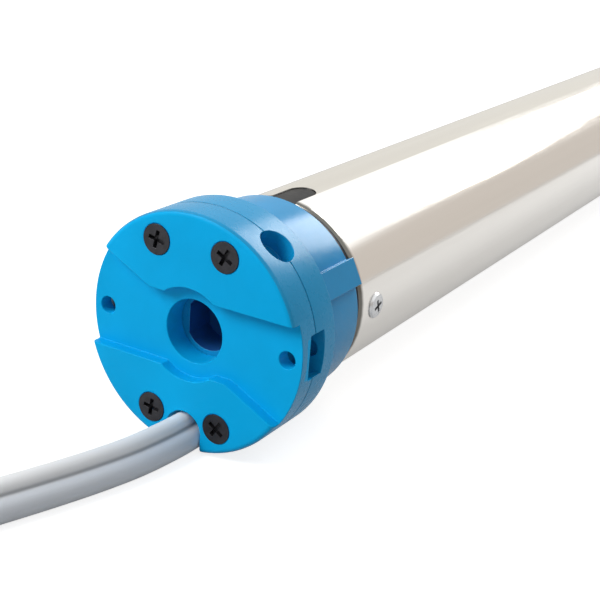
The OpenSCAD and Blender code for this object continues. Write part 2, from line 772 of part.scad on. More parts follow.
module limit_adjuster(a) color([0.08, 0.45, 0.72]) at_angle(a) translate([seam_x, 0, 0]) difference() {
    union() {
        translate([0, 0, adjuster_low]) cylinder(h = adjuster_len, r = adjuster_r);
        translate([0, 0, adjuster_low - adjuster_stem]) cylinder(h = adjuster_stem + cut, r = journal_r);
    }
    translate([0, 0, head_r - setting_deep - adjuster_key]) cylinder(h = adjuster_key + cut, r = 1.7, $fn = 6);
}
module limit_adjuster_up() limit_adjuster(180 - setting_angle);
module limit_adjuster_down() limit_adjuster(setting_angle);

// Switch case with two lugs and the lever's pin, its working side towards +X or -X
module limit_switch(a, x, way) at_angle(a) translate([x, 0, 0]) scale_x(way) difference() {
    union() {
        translate([0, -switch_half, switch_low])
            cube([switch_len, 2 * switch_half, switch_high - switch_low]);
        for (side = [-1, 1]) {
            translate([switch_len - 1, side > 0 ? lever_half + 0.2 : -switch_half, pivot_off - hub_r])
                cube([1 + lever_gap + lever_thick + 0.6, switch_half - lever_half - 0.2, 2.6]);
        }
        translate([switch_len + lever_gap + lever_thick / 2, -switch_half, pivot_off]) rotate([-90, 0, 0])
            cylinder(h = 2 * switch_half, r = pivot_r);
    }
    translate([switch_len - 1.4, 0, press_off]) rotate([0, 90, 0]) cylinder(h = 3, r = press_r + 0.25);
}
module scale_x(way) {
    if (way > 0) children();
    else mirror([1, 0, 0]) children();
}
module limit_switches() color([0.16, 0.16, 0.2]) {
    limit_switch(limit_down_angle, switch_a, 1);
    limit_switch(limit_up_angle, switch_b + switch_len, -1);
}

// Lever with a hub on the pin and a button that presses into the switch
module switch_lever(a, x, way) color([0.8, 0.8, 0.82])
    at_angle(a) translate([x, 0, 0]) scale_x(way) difference() {
    union() {
        translate([0, -lever_half, pivot_off]) cube([lever_thick, 2 * lever_half, nut_low - 0.6 - pivot_off]);
        translate([lever_thick / 2, -lever_half, pivot_off]) rotate([-90, 0, 0])
            cylinder(h = 2 * lever_half, r = hub_r);
        translate([-lever_gap - 0.1, 0, press_off]) rotate([0, 90, 0])
            cylinder(h = lever_gap + 0.2, r = press_r);
    }
    translate([lever_thick / 2, -lever_half - cut, pivot_off]) rotate([-90, 0, 0])
        cylinder(h = 2 * lever_half + 2 * cut, r = pivot_r + shaft_gap);
}
module switch_lever_down() switch_lever(limit_down_angle, lever_a, 1);
module switch_lever_up() switch_lever(limit_up_angle, lever_b + lever_thick, -1);

// Wiring and capacitor

module terminal_board() color([0.1, 0.4, 0.2]) difference() {
    translate([housing_x1 - board_grip + 0.1, -board_w / 2, board_z - board_thick / 2])
        cube([board_len + board_grip - 0.1, board_w, board_thick]);
    for (i = [0:3]) translate([block_x + block_len / 2, (i - 1.5) * 4, board_z - board_thick])
        cylinder(h = 3 * board_thick, r = 0.6);
}

module terminal_block() color([0.2, 0.5, 0.25]) difference() {
    block_z = board_z - board_thick / 2 - block_h;
    translate([block_x, -block_w / 2, block_z]) cube([block_len, block_w, block_h]);
    for (i = [0:3]) translate([block_x + block_len / 2, (i - 1.5) * 4, block_z - cut])
        cylinder(h = 3, r = 1.4);
}

module capacitor() color([0.85, 0.85, 0.82]) union() {
    on_axis(capacitor_x) soft_disc(capacitor_r, capacitor_len, 1.5, 0.8);
    rod(capacitor_x1 - cut, capacitor_x1 + capacitor_top_len, capacitor_top_r);
}

module capacitor_rings() color([0.1, 0.1, 0.1]) {
    for (x = [capacitor_x + 4, capacitor_x1 - 4 - ring_len]) {
        difference() {
            rod(x, x + ring_len, fill_r);
            rod(x - cut, x + ring_len + cut, capacitor_r);
            translate([x - cut, -wire_bay_half, -tube_r])
                cube([ring_len + 2 * cut, 2 * wire_bay_half, tube_r + wire_z + 1.8]);
        }
    }
}

// Three wires from the board along the tube's lowest line to the front bell
module motor_wires() color([0.7, 0.15, 0.1]) {
    for (i = [-1, 0, 1]) {
        wire([[housing_x1 + board_len - 3, i * core_step, board_z - board_thick / 2 - core_r],
            [housing_x1 + board_len, i * core_step, -5.5], [capacitor_x - 4, i * core_step, -15],
            [capacitor_x - 2, i * core_step, wire_z], [capacitor_x1, i * core_step, wire_z],
            [stator_x - winding_len, i * core_step, wire_z]], core_r);
    }
}

// Tube

module motor_tube() color([0.87, 0.86, 0.83]) difference() {
    on_axis(tube_x0) rotate_extrude() polygon(concat(
        [[tube_in_r, 0.15], [tube_r - tube_edge - 0.05, 0]],
        [for (k = [0:5]) [tube_r - tube_edge + tube_edge * sin(18 * k), tube_edge - tube_edge * cos(18 * k)]],
        [[tube_r, tube_x1 - tube_x0], [tube_in_r, tube_x1 - tube_x0]]));
    linear_extrude(tube_r + 1) tongue_outline(tube_notch_w, tube_notch_len);
    for (a = [0, 180]) screw_seat(a, tube_screw_x);
    for (a = cap_screw_angles) screw_seat(a, tube_x1 - cap_screw_back);
}

seat_r = tube_r - 0.25;
pan_r = 3.1;
pan_h = 1;
module screw_seat(a, x) {
    spoke(a, x, tube_r - beyond, tube_r + cut, screw_r + seat_gap);
    spoke(a, x, seat_r, tube_r + cut, pan_r + seat_gap);
}

// Low-headed screw that points to the axis, its head on the tube
module pan_screw(a, x, tip, turn) at_angle(a) translate([x, 0, seat_r]) difference() {
    union() {
        rotate_extrude() polygon([[0, 0], [pan_r, 0], [pan_r, pan_h * 0.4], [pan_r * 0.88, pan_h * 0.82],
            [pan_r * 0.6, pan_h], [0, pan_h]]);
        translate([0, 0, tip - seat_r]) cylinder(h = seat_r - tip + 0.1, r = screw_r);
    }
    translate([0, 0, pan_h]) cross_recess(turn, 0.75, 3.2, 1.1);
}

// Two screws at the head's end of the tube and four at the end cap
module tube_screws() color([0.8, 0.8, 0.8]) {
    pan_screw(180, tube_screw_x, neck_in_r + 0.2, 20);
    pan_screw(0, tube_screw_x, neck_in_r + 0.2, 50);
    for (a = cap_screw_angles) pan_screw(a, tube_x1 - cap_screw_back, cap_screw_tip, 30 + a);
}

// Motor

// End bell: a disc with a skirt that reaches the stator and a boss that holds a bush
module bell() color([0.6, 0.61, 0.63]) difference() {
    rotate_extrude() polygon([[bush_r, 0], [fill_r, 0], [fill_r, bell_deep], [fill_r - bell_wall, bell_deep],
        [fill_r - bell_wall, bell_len], [bell_boss_r, bell_len], [bell_boss_r, bush_len], [bush_r, bush_len]]);
    for (i = [-1, 0, 1]) translate([i * core_step, wire_z, -cut])
        cylinder(h = bell_len + 2 * cut, r = core_r + wire_gap);
}

module front_bell() on_axis(bell_x) bell();
module rear_bell() on_axis(bell_b_x1) mirror([0, 0, 1]) bell();

module shaft_bushes() color([0.75, 0.55, 0.3]) {
    pipe(bell_x, bell_x + bush_len, bush_r, shaft_r + shaft_gap);
    pipe(bell_b_x1 - bush_len, bell_b_x1, bush_r, shaft_r + shaft_gap);
}

module stator_core() color([0.55, 0.55, 0.56]) on_axis(stator_x) linear_extrude(stack_len) difference() {
    circle(r = fill_r);
    circle(r = bore_r);
    for (i = [0:slots - 1]) rotate(360 * i / slots) translate([bore_r - cut, -slot_w / 2])
        square([slot_r - bore_r + cut, slot_w]);
}

module stator_windings() color([0.72, 0.4, 0.2]) {
    for (x = [stator_x - winding_len, stator_x1]) pipe(x, x + winding_len, slot_r, winding_in_r);
    for (i = [0:slots - 1]) on_axis(stator_x - 0.5) linear_extrude(stack_len + 1) rotate(360 * i / slots)
        translate([winding_in_r, -slot_w / 2 + winding_gap])
        square([slot_r - winding_in_r - winding_gap, slot_w - 2 * winding_gap]);
}

module rotor_core() color([0.5, 0.5, 0.52]) pipe(stator_x, stator_x1, rotor_r, shaft_r);

module rotor_end_rings() color([0.8, 0.8, 0.82]) {
    pipe(stator_x - end_ring_len, stator_x, rotor_r, end_ring_in_r);
    pipe(stator_x1, stator_x1 + end_ring_len, rotor_r, end_ring_in_r);
}

module motor_shaft() color([0.7, 0.7, 0.72]) {
    rod(bell_x + 0.5, gears_x - 1, shaft_r);
    rod(gears_x - 1 - cut, gears_x + gear_w, tooth_m * sun_teeth / 2 - root_out);
    on_axis(gears_x) linear_extrude(gear_w) gear_outline(sun_teeth);
}

// Brake

module brake_yoke() color([0.45, 0.46, 0.48]) difference() {
    union() {
        rod(brake_x, yoke_x1, fill_r);
        pipe(yoke_x1 - cut, flange_x, fill_r, fill_r - brake_skirt);
    }
    rod(brake_x - cut, yoke_x1 + cut, shaft_r + 1);
    difference() {
        rod(yoke_x1 - coil_len - 0.3, yoke_x1 + cut, coil_out_r + seat_gap);
        rod(yoke_x1 - coil_len - cut, yoke_x1 + 2 * cut, coil_in_r - seat_gap);
    }
    difference() {
        rod(yoke_x1 - spring_len, yoke_x1 + cut, spring_r + spring_wire + 0.2);
        rod(yoke_x1 - spring_len - cut, yoke_x1 + 2 * cut, spring_r - spring_wire - 0.2);
    }
}

module brake_coil() color([0.7, 0.38, 0.2])
    pipe(yoke_x1 - coil_len - 0.3, yoke_x1 - 0.3, coil_out_r, coil_in_r);

// Spring between the yoke's pocket and the armature
module brake_spring() color([0.75, 0.75, 0.77]) {
    steps = spring_turns * 12;
    rise = (spring_len + armature_gap - 2 * spring_wire - 0.1) / steps;
    on_axis(yoke_x1 - spring_len + spring_wire + 0.05)
        wire([for (i = [0:steps]) [spring_r * cos(30 * i), spring_r * sin(30 * i), rise * i]], spring_wire);
}

module brake_armature() color([0.55, 0.56, 0.58])
    pipe(yoke_x1 + armature_gap, yoke_x1 + armature_gap + armature_len, armature_r, shaft_r + 1);

module brake_disc() color([0.25, 0.22, 0.2]) pipe(disc_x, disc_x + disc_len, disc_r, shaft_r);

// Gearbox

module gear_flange() color([0.5, 0.5, 0.52]) pipe(flange_x, flange_x + flange_len, fill_r, shaft_r + 1);

module gear_housing() color([0.6, 0.6, 0.6]) on_axis(flange_x + flange_len)
    linear_extrude(gears_x1 - flange_x - flange_len) difference() {
        circle(r = fill_r);
        ring_gear_outline(ring_teeth, tooth_m * ring_teeth / 2 - tip_in, tooth_m * ring_teeth / 2 + root_out);
    }

// Planet gear of one stage at the angle a; its teeth start in mesh with the sun and the ring
module planet(stage, a) color([0.8, 0.78, 0.7]) on_axis(gears_x + (stage - 1) * stage_len)
    rotate(a) translate([planet_off, 0, 0]) rotate(a * sun_teeth / planet_teeth) linear_extrude(gear_w)
    difference() {
        gear_outline(planet_teeth);
        circle(r = pin_r + shaft_gap);
    }

// Plate with three planet pins, and the sun or the shaft on its far side
module carrier_plate(stage, plate) {
    x = gears_x + (stage - 1) * stage_len;
    rod(x + gear_w + plate_gap, x + gear_w + plate_gap + plate, plate_r);
    for (a = [0, 120, 240]) on_axis(x + 0.2) rotate(a) translate([planet_off, 0, 0])
        cylinder(h = gear_w + plate_gap, r = pin_r);
}

module carrier_with_sun(stage) color([0.66, 0.66, 0.68]) {
    x = gears_x + (stage - 1) * stage_len + gear_w + plate_gap + plate_len;
    next = gears_x + stage * stage_len;
    carrier_plate(stage, plate_len);
    rod(x - cut, next + gear_w, tooth_m * sun_teeth / 2 - root_out);
    on_axis(next) linear_extrude(gear_w) gear_outline(sun_teeth);
}

module stage_1_planet_a() planet(1, 0);
module stage_1_planet_b() planet(1, 120);
module stage_1_planet_c() planet(1, 240);
module stage_1_carrier() carrier_with_sun(1);
module stage_2_planet_a() planet(2, 0);
module stage_2_planet_b() planet(2, 120);
module stage_2_planet_c() planet(2, 240);
module stage_2_carrier() carrier_with_sun(2);
module stage_3_planet_a() planet(3, 0);
module stage_3_planet_b() planet(3, 120);
module stage_3_planet_c() planet(3, 240);

module output_shaft() color([0.7, 0.7, 0.72]) difference() {
    x = gears_x + 2 * stage_len + gear_w + plate_gap;
    union() {
        carrier_plate(3, third_plate_len);
        rod(x + third_plate_len - cut, wheel_x0 - 0.5, output_r);
        on_axis(wheel_x0 - 0.5 - cut) linear_extrude(wheel_len + 0.3 + cut) square(square_w, center = true);
    }
    rod(wheel_x1 - wheel_screw_len, wheel_x1 + cut, wheel_screw_r);
}

// End cap and output

module end_cap() color([0.12, 0.12, 0.13]) difference() {
    union() {
        rod(cap_x0, tube_x1, fill_r);
        on_axis(tube_x1) soft_disc(tube_r, cap_lip, 0.1, 0.5);
    }
    rod(cap_x0 - cut, tube_x1 + cap_lip + cut, output_r + 0.5);
    rod(cap_x0 + bearing_in, cap_x0 + bearing_in + bearing_len, bearing_r);
    rod(tube_x1 + cap_lip - bearing_in - bearing_len, tube_x1 + cap_lip + cut, bearing_r);
    for (a = cap_screw_angles) spoke(a, tube_x1 - cap_screw_back, cap_screw_tip - 0.5, tube_r + cut, screw_r);
    rod(cap_x0 - cut, cap_x0 + bearing_in + cut, bearing_r - 1);
}

module output_bearings() color([0.78, 0.6, 0.32]) {
    pipe(cap_x0 + bearing_in, cap_x0 + bearing_in + bearing_len, bearing_r, output_r + shaft_gap);
    pipe(tube_x1 + cap_lip - bearing_in - bearing_len, tube_x1 + cap_lip - bearing_in, bearing_r,
        output_r + shaft_gap);
}

module drive_wheel() color([0.1, 0.5, 0.76]) difference() {
    union() {
        difference() {
            on_axis(wheel_x0) soft_disc(crown_r, wheel_len, crown_edge, crown_edge);
            rod(wheel_x0 - cut, wheel_x1 + cut, crown_r - wheel_wall);
        }
        rod(wheel_x0, wheel_x1, hub_out_r);
        for (i = [0:wheel_arms - 1]) on_axis(wheel_x0 + arm_inset) rotate(360 * i / wheel_arms)
            translate([hub_out_r - cut, -arm_w / 2, 0])
            cube([crown_r - wheel_wall / 2 - hub_out_r + cut, arm_w, wheel_len - 2 * arm_inset]);
        key_bar(wheel_x0 + key_inset, wheel_x1 - key_inset);
    }
    on_axis(wheel_x0 - cut) linear_extrude(wheel_len + 2 * cut)
        square(square_w + 2 * square_gap, center = true);
}

module wheel_screw() color([0.8, 0.8, 0.8]) difference() {
    union() {
        rod(wheel_x1, wheel_x1 + washer_len, washer_r + 1);
        on_axis(wheel_x1 + washer_len) soft_disc(3.6, 2.4, 0.05, 0.7);
        rod(wheel_x1 - wheel_screw_len + 0.5, wheel_x1 + cut, wheel_screw_r);
    }
    on_axis(wheel_x1 + washer_len + 2.4) cross_recess(45, 1, 4.4, 1.5);
}

head_cover();
head_body();
head_neck();
face_screws();
cable_entry();
cable_wedge();
cable_lead();
cable_hank();
cable_tie();
cable_end_cores();
inner_cores();
crown_ring();
limit_housing();
limit_screw_up();
limit_screw_down();
limit_nut_up();
limit_nut_down();
limit_adjuster_up();
limit_adjuster_down();
limit_switches();
switch_lever_up();
switch_lever_down();
terminal_board();
terminal_block();
capacitor();
capacitor_rings();
motor_wires();
motor_tube();
tube_screws();
front_bell();
rear_bell();
shaft_bushes();
stator_core();
stator_windings();
rotor_core();
rotor_end_rings();
motor_shaft();
brake_yoke();
brake_coil();
brake_spring();
brake_armature();
brake_disc();
gear_flange();
gear_housing();
stage_1_planet_a();
stage_1_planet_b();
stage_1_planet_c();
stage_1_carrier();
stage_2_planet_a();
stage_2_planet_b();
stage_2_planet_c();
stage_2_carrier();
stage_3_planet_a();
stage_3_planet_b();
stage_3_planet_c();
output_shaft();
output_bearings();
end_cap();
drive_wheel();
wheel_screw();
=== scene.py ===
import json
import math

import bmesh
import bpy
import numpy as np
from mathutils import Matrix, Vector

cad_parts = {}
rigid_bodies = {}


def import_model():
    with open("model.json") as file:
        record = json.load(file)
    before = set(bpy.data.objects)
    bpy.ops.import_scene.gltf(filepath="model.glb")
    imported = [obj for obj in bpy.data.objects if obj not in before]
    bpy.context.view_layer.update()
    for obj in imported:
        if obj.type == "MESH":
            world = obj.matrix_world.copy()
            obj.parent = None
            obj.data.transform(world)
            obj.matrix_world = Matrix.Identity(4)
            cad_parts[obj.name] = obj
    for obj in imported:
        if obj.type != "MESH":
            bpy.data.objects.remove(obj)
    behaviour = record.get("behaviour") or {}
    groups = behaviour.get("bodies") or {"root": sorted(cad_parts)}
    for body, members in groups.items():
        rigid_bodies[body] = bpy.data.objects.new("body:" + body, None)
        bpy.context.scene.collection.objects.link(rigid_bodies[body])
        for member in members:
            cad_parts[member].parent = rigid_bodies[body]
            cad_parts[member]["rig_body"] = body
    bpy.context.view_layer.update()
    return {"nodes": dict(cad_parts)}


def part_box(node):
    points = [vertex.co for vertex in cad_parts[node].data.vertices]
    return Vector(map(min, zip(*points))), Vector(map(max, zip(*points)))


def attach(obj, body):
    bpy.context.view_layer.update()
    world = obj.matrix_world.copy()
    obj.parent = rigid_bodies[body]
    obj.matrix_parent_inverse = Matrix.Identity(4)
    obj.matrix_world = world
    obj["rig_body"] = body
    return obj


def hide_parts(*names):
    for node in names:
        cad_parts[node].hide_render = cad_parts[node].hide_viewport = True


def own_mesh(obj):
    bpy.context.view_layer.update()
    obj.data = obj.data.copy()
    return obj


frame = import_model()

# Camera
# The eye stands low in front of the head and to its right, and looks along the tube,
# turned a little clockwise. The frame is square, and the lens is that of a short telephoto.
FOCAL_MM, SENSOR_MM, NEAR_CLIP = 73.48, 36, 0.01
EYE = Vector((-0.1986, -0.13743, 0.10098))
YAW, PITCH, ROLL = math.radians(29.46), math.radians(20.92), math.radians(4.41)


def camera_turn(yaw, pitch, roll):
    """Rotation whose columns are right, up and back, from a heading, a downward pitch and a roll."""
    ahead = Vector((math.cos(pitch) * math.cos(yaw), math.cos(pitch) * math.sin(yaw), -math.sin(pitch)))
    level = Vector((math.sin(yaw), -math.cos(yaw), 0.0))
    upright = level.cross(ahead)
    right = level * math.cos(roll) + upright * math.sin(roll)
    up = upright * math.cos(roll) - level * math.sin(roll)
    return Matrix((right, up, -ahead)).transposed().to_4x4()


camera_data = bpy.data.cameras.new("camera")
camera_data.sensor_width = SENSOR_MM
camera_data.lens = FOCAL_MM
camera_data.clip_start = NEAR_CLIP
camera = bpy.data.objects.new("camera", camera_data)
camera.matrix_world = Matrix.Translation(EYE) @ camera_turn(YAW, PITCH, ROLL)
bpy.context.scene.collection.objects.link(camera)
bpy.context.scene.camera = camera

# Cable sheath
# Grey soft plastic over two lobes of unlike size, like a figure eight, with painted shade in the crease
# where they meet.
# It leaves the notch in the head and lies on its larger lobe, which is coloured darker as painted shade. The
# length that isn't seen is folded into a hank that stands on edge in four layers.
MM = 0.001
SURFACE_Z = -27.0
BIG_LOBE, SMALL_LOBE, LOBE_STEP = 2.9, 2.1, 3.9
CABLE_W = BIG_LOBE + LOBE_STEP + SMALL_LOBE
BIG_AT, SMALL_AT = BIG_LOBE - CABLE_W / 2, CABLE_W / 2 - SMALL_LOBE
LEAD_POINTS = [
    (5.6, -0.5), (-2.7, -0.5), (-10, 0), (-18, 1.1), (-26, 3), (-34, 5.4), (-42, 8.1),
    (-50, 11), (-58, 14), (-66, 17), (-74, 20.2), (-82, 23.5), (-91, 27.2),
]
ENTRY_TILT, TWIST_FROM, UPRIGHT_FROM = -30.0, 8, 11
HANK_START = (-103.0, 32.1)
HANK_GAP, HANK_PITCH, HANK_RUN, HANK_DRAW, FOLD_R = 0.5, 6.8, 65.0, 8.0, 26.7
LOOP_STEPS, RUN_STEPS, FOLD_STEPS, LAYER_STEPS = 24, 4, 8, 36
FIRST_STEP, TURN_BACK, LAST_STEP, HANK_LAYERS = -1, 38, 136, 4
TIE_THICK, TIE_GAP, TIE_W, TIE_ROUND = 1.2, 0.5, 8.0, 3.0
HANK_RISE = TIE_THICK + 2 * TIE_GAP
HANK_LAYER = CABLE_W + HANK_GAP
LOBE_SIDES, ROW_STEP = 20, 2.0
CREASE_POWER, LOBE_EDGE = 60.0, 0.25
# Painted shade: the grey of the larger lobe and the grey of the crease.
SHADED_LOBE_GREY, CREASE_SHADE_GREY = (0.65, 0.68, 0.72), (0.44, 0.45, 0.47)
NOISE_LOW, NOISE_HIGH, FINER, GRAIN_DEPTH, SMOOTHEST = 0.25, 0.75, 6, 0.1, 0.02


def lead_route():
    """Rows of x, y, z and tilt of the stretch that isn't wound: its larger lobe touches the surface, and the
    section keeps its tilt, then turns upright before the hank."""
    index = np.arange(len(LEAD_POINTS))
    tilt = ENTRY_TILT * np.clip((UPRIGHT_FROM - index) / (UPRIGHT_FROM - TWIST_FROM), 0, 1)
    height = SURFACE_Z + BIG_LOBE - BIG_AT * np.cos(np.radians(tilt))
    return np.column_stack([np.array(LEAD_POINTS), height, tilt])


def eased(t):
    """Smooth step from 0 to 1: three t squared less two t cubed."""
    t = np.clip(t, 0, 1)
    return t * t * (3 - 2 * t)


def loop_radius(i):
    """Radius of the fold at step i: the smallest one, and a pitch more for each turn of the spiral outside
    it, which turns back at the end of every layer."""
    out = np.where(i < TURN_BACK, TURN_BACK - i,
                   np.abs((i - TURN_BACK + LAYER_STEPS) % (2 * LAYER_STEPS) - LAYER_STEPS))
    return FOLD_R + HANK_PITCH * out / LOOP_STEPS


def hank_point(i):
    """Points of the steps i: a run, the far half circle, the run back and the near half circle, and so on,
    each run drawn in and lifted at its middle by a squared sine, and each layer one cable width and a gap
    above the last."""
    j = (i + LOOP_STEPS) % LOOP_STEPS
    half = RUN_STEPS + FOLD_STEPS
    side, k = np.where(j < half, 1, -1), j % half
    s, on_run = k / RUN_STEPS, k < RUN_STEPS
    radius = loop_radius(i)
    layer = sum(eased((i - TURN_BACK - n * LAYER_STEPS) / RUN_STEPS + 0.5) for n in range(HANK_LAYERS - 1))
    drawn = np.where(on_run, np.sin(math.pi * s) ** 2, 0)
    turned = np.radians(90 + 180 * (k - RUN_STEPS) / FOLD_STEPS)
    x = np.where(on_run, np.where(side > 0, -HANK_RUN * s, HANK_RUN * (s - 1)),
                 side * radius * np.cos(turned) - np.where(side > 0, HANK_RUN, 0))
    y = side * np.where(on_run, radius - HANK_DRAW * drawn, radius * np.sin(turned))
    return np.column_stack([x, y, SURFACE_Z + CABLE_W / 2 + HANK_LAYER * layer + HANK_RISE * drawn])


def smooth_line(rows, step):
    """Catmull-Rom curve through the rows, a cubic between each two of them, with a row about every step."""
    ends = np.vstack([2 * rows[0] - rows[1], rows, 2 * rows[-1] - rows[-2]])
    a, b, c, d = ends[:-3], ends[1:-2], ends[2:-1], ends[3:]
    parts = []
    for i in range(len(b)):
        n = max(1, round(np.linalg.norm(c[i, :3] - b[i, :3]) / step))
        t = (np.arange(n) / n)[:, None]
        parts.append(0.5 * (2 * b[i] + (c[i] - a[i]) * t + (2 * a[i] - 5 * b[i] + 4 * c[i] - d[i]) * t ** 2
                            + (3 * b[i] - a[i] - 3 * c[i] + d[i]) * t ** 3))
    return np.vstack([*parts, rows[-1:]])


def sheath_outline():
    """Outline of the two lobes, along the pair of centres and across it: an arc of each circle, from one
    crease where the circles meet to the other."""
    crease = (LOBE_STEP ** 2 + BIG_LOBE ** 2 - SMALL_LOBE ** 2) / (2 * LOBE_STEP)
    big_open = math.acos(crease / BIG_LOBE)
    small_open = math.acos((LOBE_STEP - crease) / SMALL_LOBE)
    big = np.linspace(big_open, 2 * math.pi - big_open, LOBE_SIDES)
    small = np.linspace(small_open - math.pi, math.pi - small_open, LOBE_SIDES)[1:-1]
    return np.vstack([np.column_stack([BIG_AT + BIG_LOBE * np.cos(big), BIG_LOBE * np.sin(big)]),
                      np.column_stack([SMALL_AT + SMALL_LOBE * np.cos(small), SMALL_LOBE * np.sin(small)])])


def swept(line, outline, tilt):
    """Points of a tube on a grid of rings: each ring stands square to the line, its outline's first value
    along the tilted upright direction and its second across it."""
    ahead = np.gradient(line, axis=0)
    ahead /= np.linalg.norm(ahead, axis=1)[:, None]
    left = np.column_stack([-ahead[:, 1], ahead[:, 0], np.zeros(len(line))])
    left /= np.linalg.norm(left, axis=1)[:, None]
    up = np.cross(ahead, left)
    c, s = np.cos(np.radians(tilt))[:, None], np.sin(np.radians(tilt))[:, None]
    along, over = up * c + left * s, left * c - up * s
    return line[:, None] + outline[None, :, :1] * along[:, None] + outline[None, :, 1:] * over[:, None]


def grid_piece(name, points, capped=True):
    """A mesh over a grid of closed rings, in millimetres: quads between neighbouring rings, a cap on each
    end, and a UV map in metres whose first value runs along the piece and whose second runs round it."""
    rings, sides = points.shape[:2]
    i, k = np.arange(rings - 1)[:, None], np.arange(sides)[None, :]
    after = (k + 1) % sides
    here, ahead = i * sides, (i + 1) * sides
    quads = np.stack([here + k, ahead + k, ahead + after, here + after], axis=-1)
    faces = quads.reshape(-1, 4).tolist()
    if capped:
        faces.append(list(range(sides)))
        faces.append(list(range((rings - 1) * sides, rings * sides))[::-1])
    mesh = bpy.data.meshes.new(name)
    mesh.from_pydata((points.reshape(-1, 3) * MM).tolist(), [], faces)
    along = np.concatenate([[0], np.cumsum(np.linalg.norm(np.diff(points.mean(1), axis=0), axis=1))]) * MM
    round_it = np.linalg.norm(np.diff(points[:1], axis=1, append=points[:1, :1]), axis=2).sum() * MM / sides
    u = np.broadcast_to(np.stack([along[i + step] for step in (0, 1, 1, 0)], axis=-1), quads.shape)
    v = np.broadcast_to(np.stack([k, k, k + 1, k + 1], axis=-1) * round_it, quads.shape)
    uv = np.zeros((len(mesh.loops), 2))
    uv[:quads.size] = np.stack([u, v], axis=-1).reshape(-1, 2)
    mesh.uv_layers.new(name="along").data.foreach_set("uv", uv.ravel())
    mesh.polygons.foreach_set("use_smooth", np.arange(len(faces)) < quads.shape[0] * quads.shape[1])
    mesh.update()
    piece = bpy.data.objects.new(name, mesh)
    bpy.context.scene.collection.objects.link(piece)
    return piece


def finish(name, color, roughness, metallic=0.0, tone=0.05, patch=0.02, spread=0.05, grain=0.0004,
           relief=0.3, along_uv=False, stretch=(1, 1, 1), **sockets):
    """A procedural finish. A slow noise of the size patch moves the colour by tone up and down, a finer one
    moves the roughness by spread, and a grain of the size grain raises the surface; sizes are in metres."""
    made = bpy.data.materials.new(name)
    made.use_nodes = True
    tree = made.node_tree
    shader = tree.nodes["Principled BSDF"]
    shader.inputs["Metallic"].default_value = metallic
    for socket, value in sockets.items():
        shader.inputs[socket.replace("_", " ")].default_value = value
    place = tree.nodes.new("ShaderNodeTexCoord")
    mapping = tree.nodes.new("ShaderNodeMapping")
    mapping.inputs["Scale"].default_value = stretch
    tree.links.new(place.outputs["UV" if along_uv else "Object"], mapping.inputs["Vector"])

    def noise(size, detail):
        """Noise of the given size, with the given number of finer layers."""
        made_noise = tree.nodes.new("ShaderNodeTexNoise")
        made_noise.inputs["Scale"].default_value = 1 / size
        made_noise.inputs["Detail"].default_value = detail
        tree.links.new(mapping.outputs["Vector"], made_noise.inputs["Vector"])
        return made_noise.outputs["Fac"]

    def ranged(value, low, high):
        """The noise, stretched to run from low to high."""
        made_range = tree.nodes.new("ShaderNodeMapRange")
        made_range.inputs["From Min"].default_value = NOISE_LOW
        made_range.inputs["From Max"].default_value = NOISE_HIGH
        made_range.inputs["To Min"].default_value = low
        made_range.inputs["To Max"].default_value = high
        tree.links.new(value, made_range.inputs["Value"])
        return made_range.outputs["Result"]

    colors = tree.nodes.new("ShaderNodeMix")
    colors.data_type = "RGBA"
    colors.inputs["A"].default_value = (*[c * (1 - tone) for c in color], 1)
    colors.inputs["B"].default_value = (*[min(1, c * (1 + tone)) for c in color], 1)
    tree.links.new(ranged(noise(patch, detail=3), 0, 1), colors.inputs["Factor"])
    tree.links.new(colors.outputs["Result"], shader.inputs["Base Color"])
    low, high = max(SMOOTHEST, roughness - spread), min(1, roughness + spread)
    duller = ranged(noise(patch / FINER, detail=4), low, high)
    tree.links.new(duller, shader.inputs["Roughness"])
    bump = tree.nodes.new("ShaderNodeBump")
    bump.inputs["Strength"].default_value = relief
    bump.inputs["Distance"].default_value = grain * GRAIN_DEPTH
    tree.links.new(noise(grain, detail=2), bump.inputs["Height"])
    tree.links.new(bump.outputs["Normal"], shader.inputs["Normal"])
    return made


def maths(tree, mode, *inputs):
    """A maths node of the tree, in the given mode, over links and plain numbers."""
    node = tree.nodes.new("ShaderNodeMath")
    node.operation = mode
    for socket, value in zip(node.inputs, inputs):
        if isinstance(value, (int, float)):
            socket.default_value = value
        else:
            tree.links.new(value, socket)
    return node.outputs[0]


def stepped(tree, value, low, high):
    """Rises from 0 at low to 1 at high, and stays level outside them."""
    node = tree.nodes.new("ShaderNodeMapRange")
    node.inputs["From Min"].default_value, node.inputs["From Max"].default_value = low, high
    tree.links.new(value, node.inputs["Value"])
    return node.outputs["Result"]


def between(tree, factor, first, second):
    """Blend of two colours, each a tuple or a link."""
    node = tree.nodes.new("ShaderNodeMix")
    node.data_type = "RGBA"
    tree.links.new(factor, node.inputs["Factor"])
    for socket, value in ((node.inputs["A"], first), (node.inputs["B"], second)):
        if isinstance(value, tuple):
            socket.default_value = (*value, 1)
        else:
            tree.links.new(value, socket)
    return node.outputs["Result"]


def dress(look, *nodes):
    """Gives the look to every material slot of the nodes, whose meshes stay as they are."""
    for node in nodes:
        for place in frame["nodes"][node].material_slots:
            place.material = look


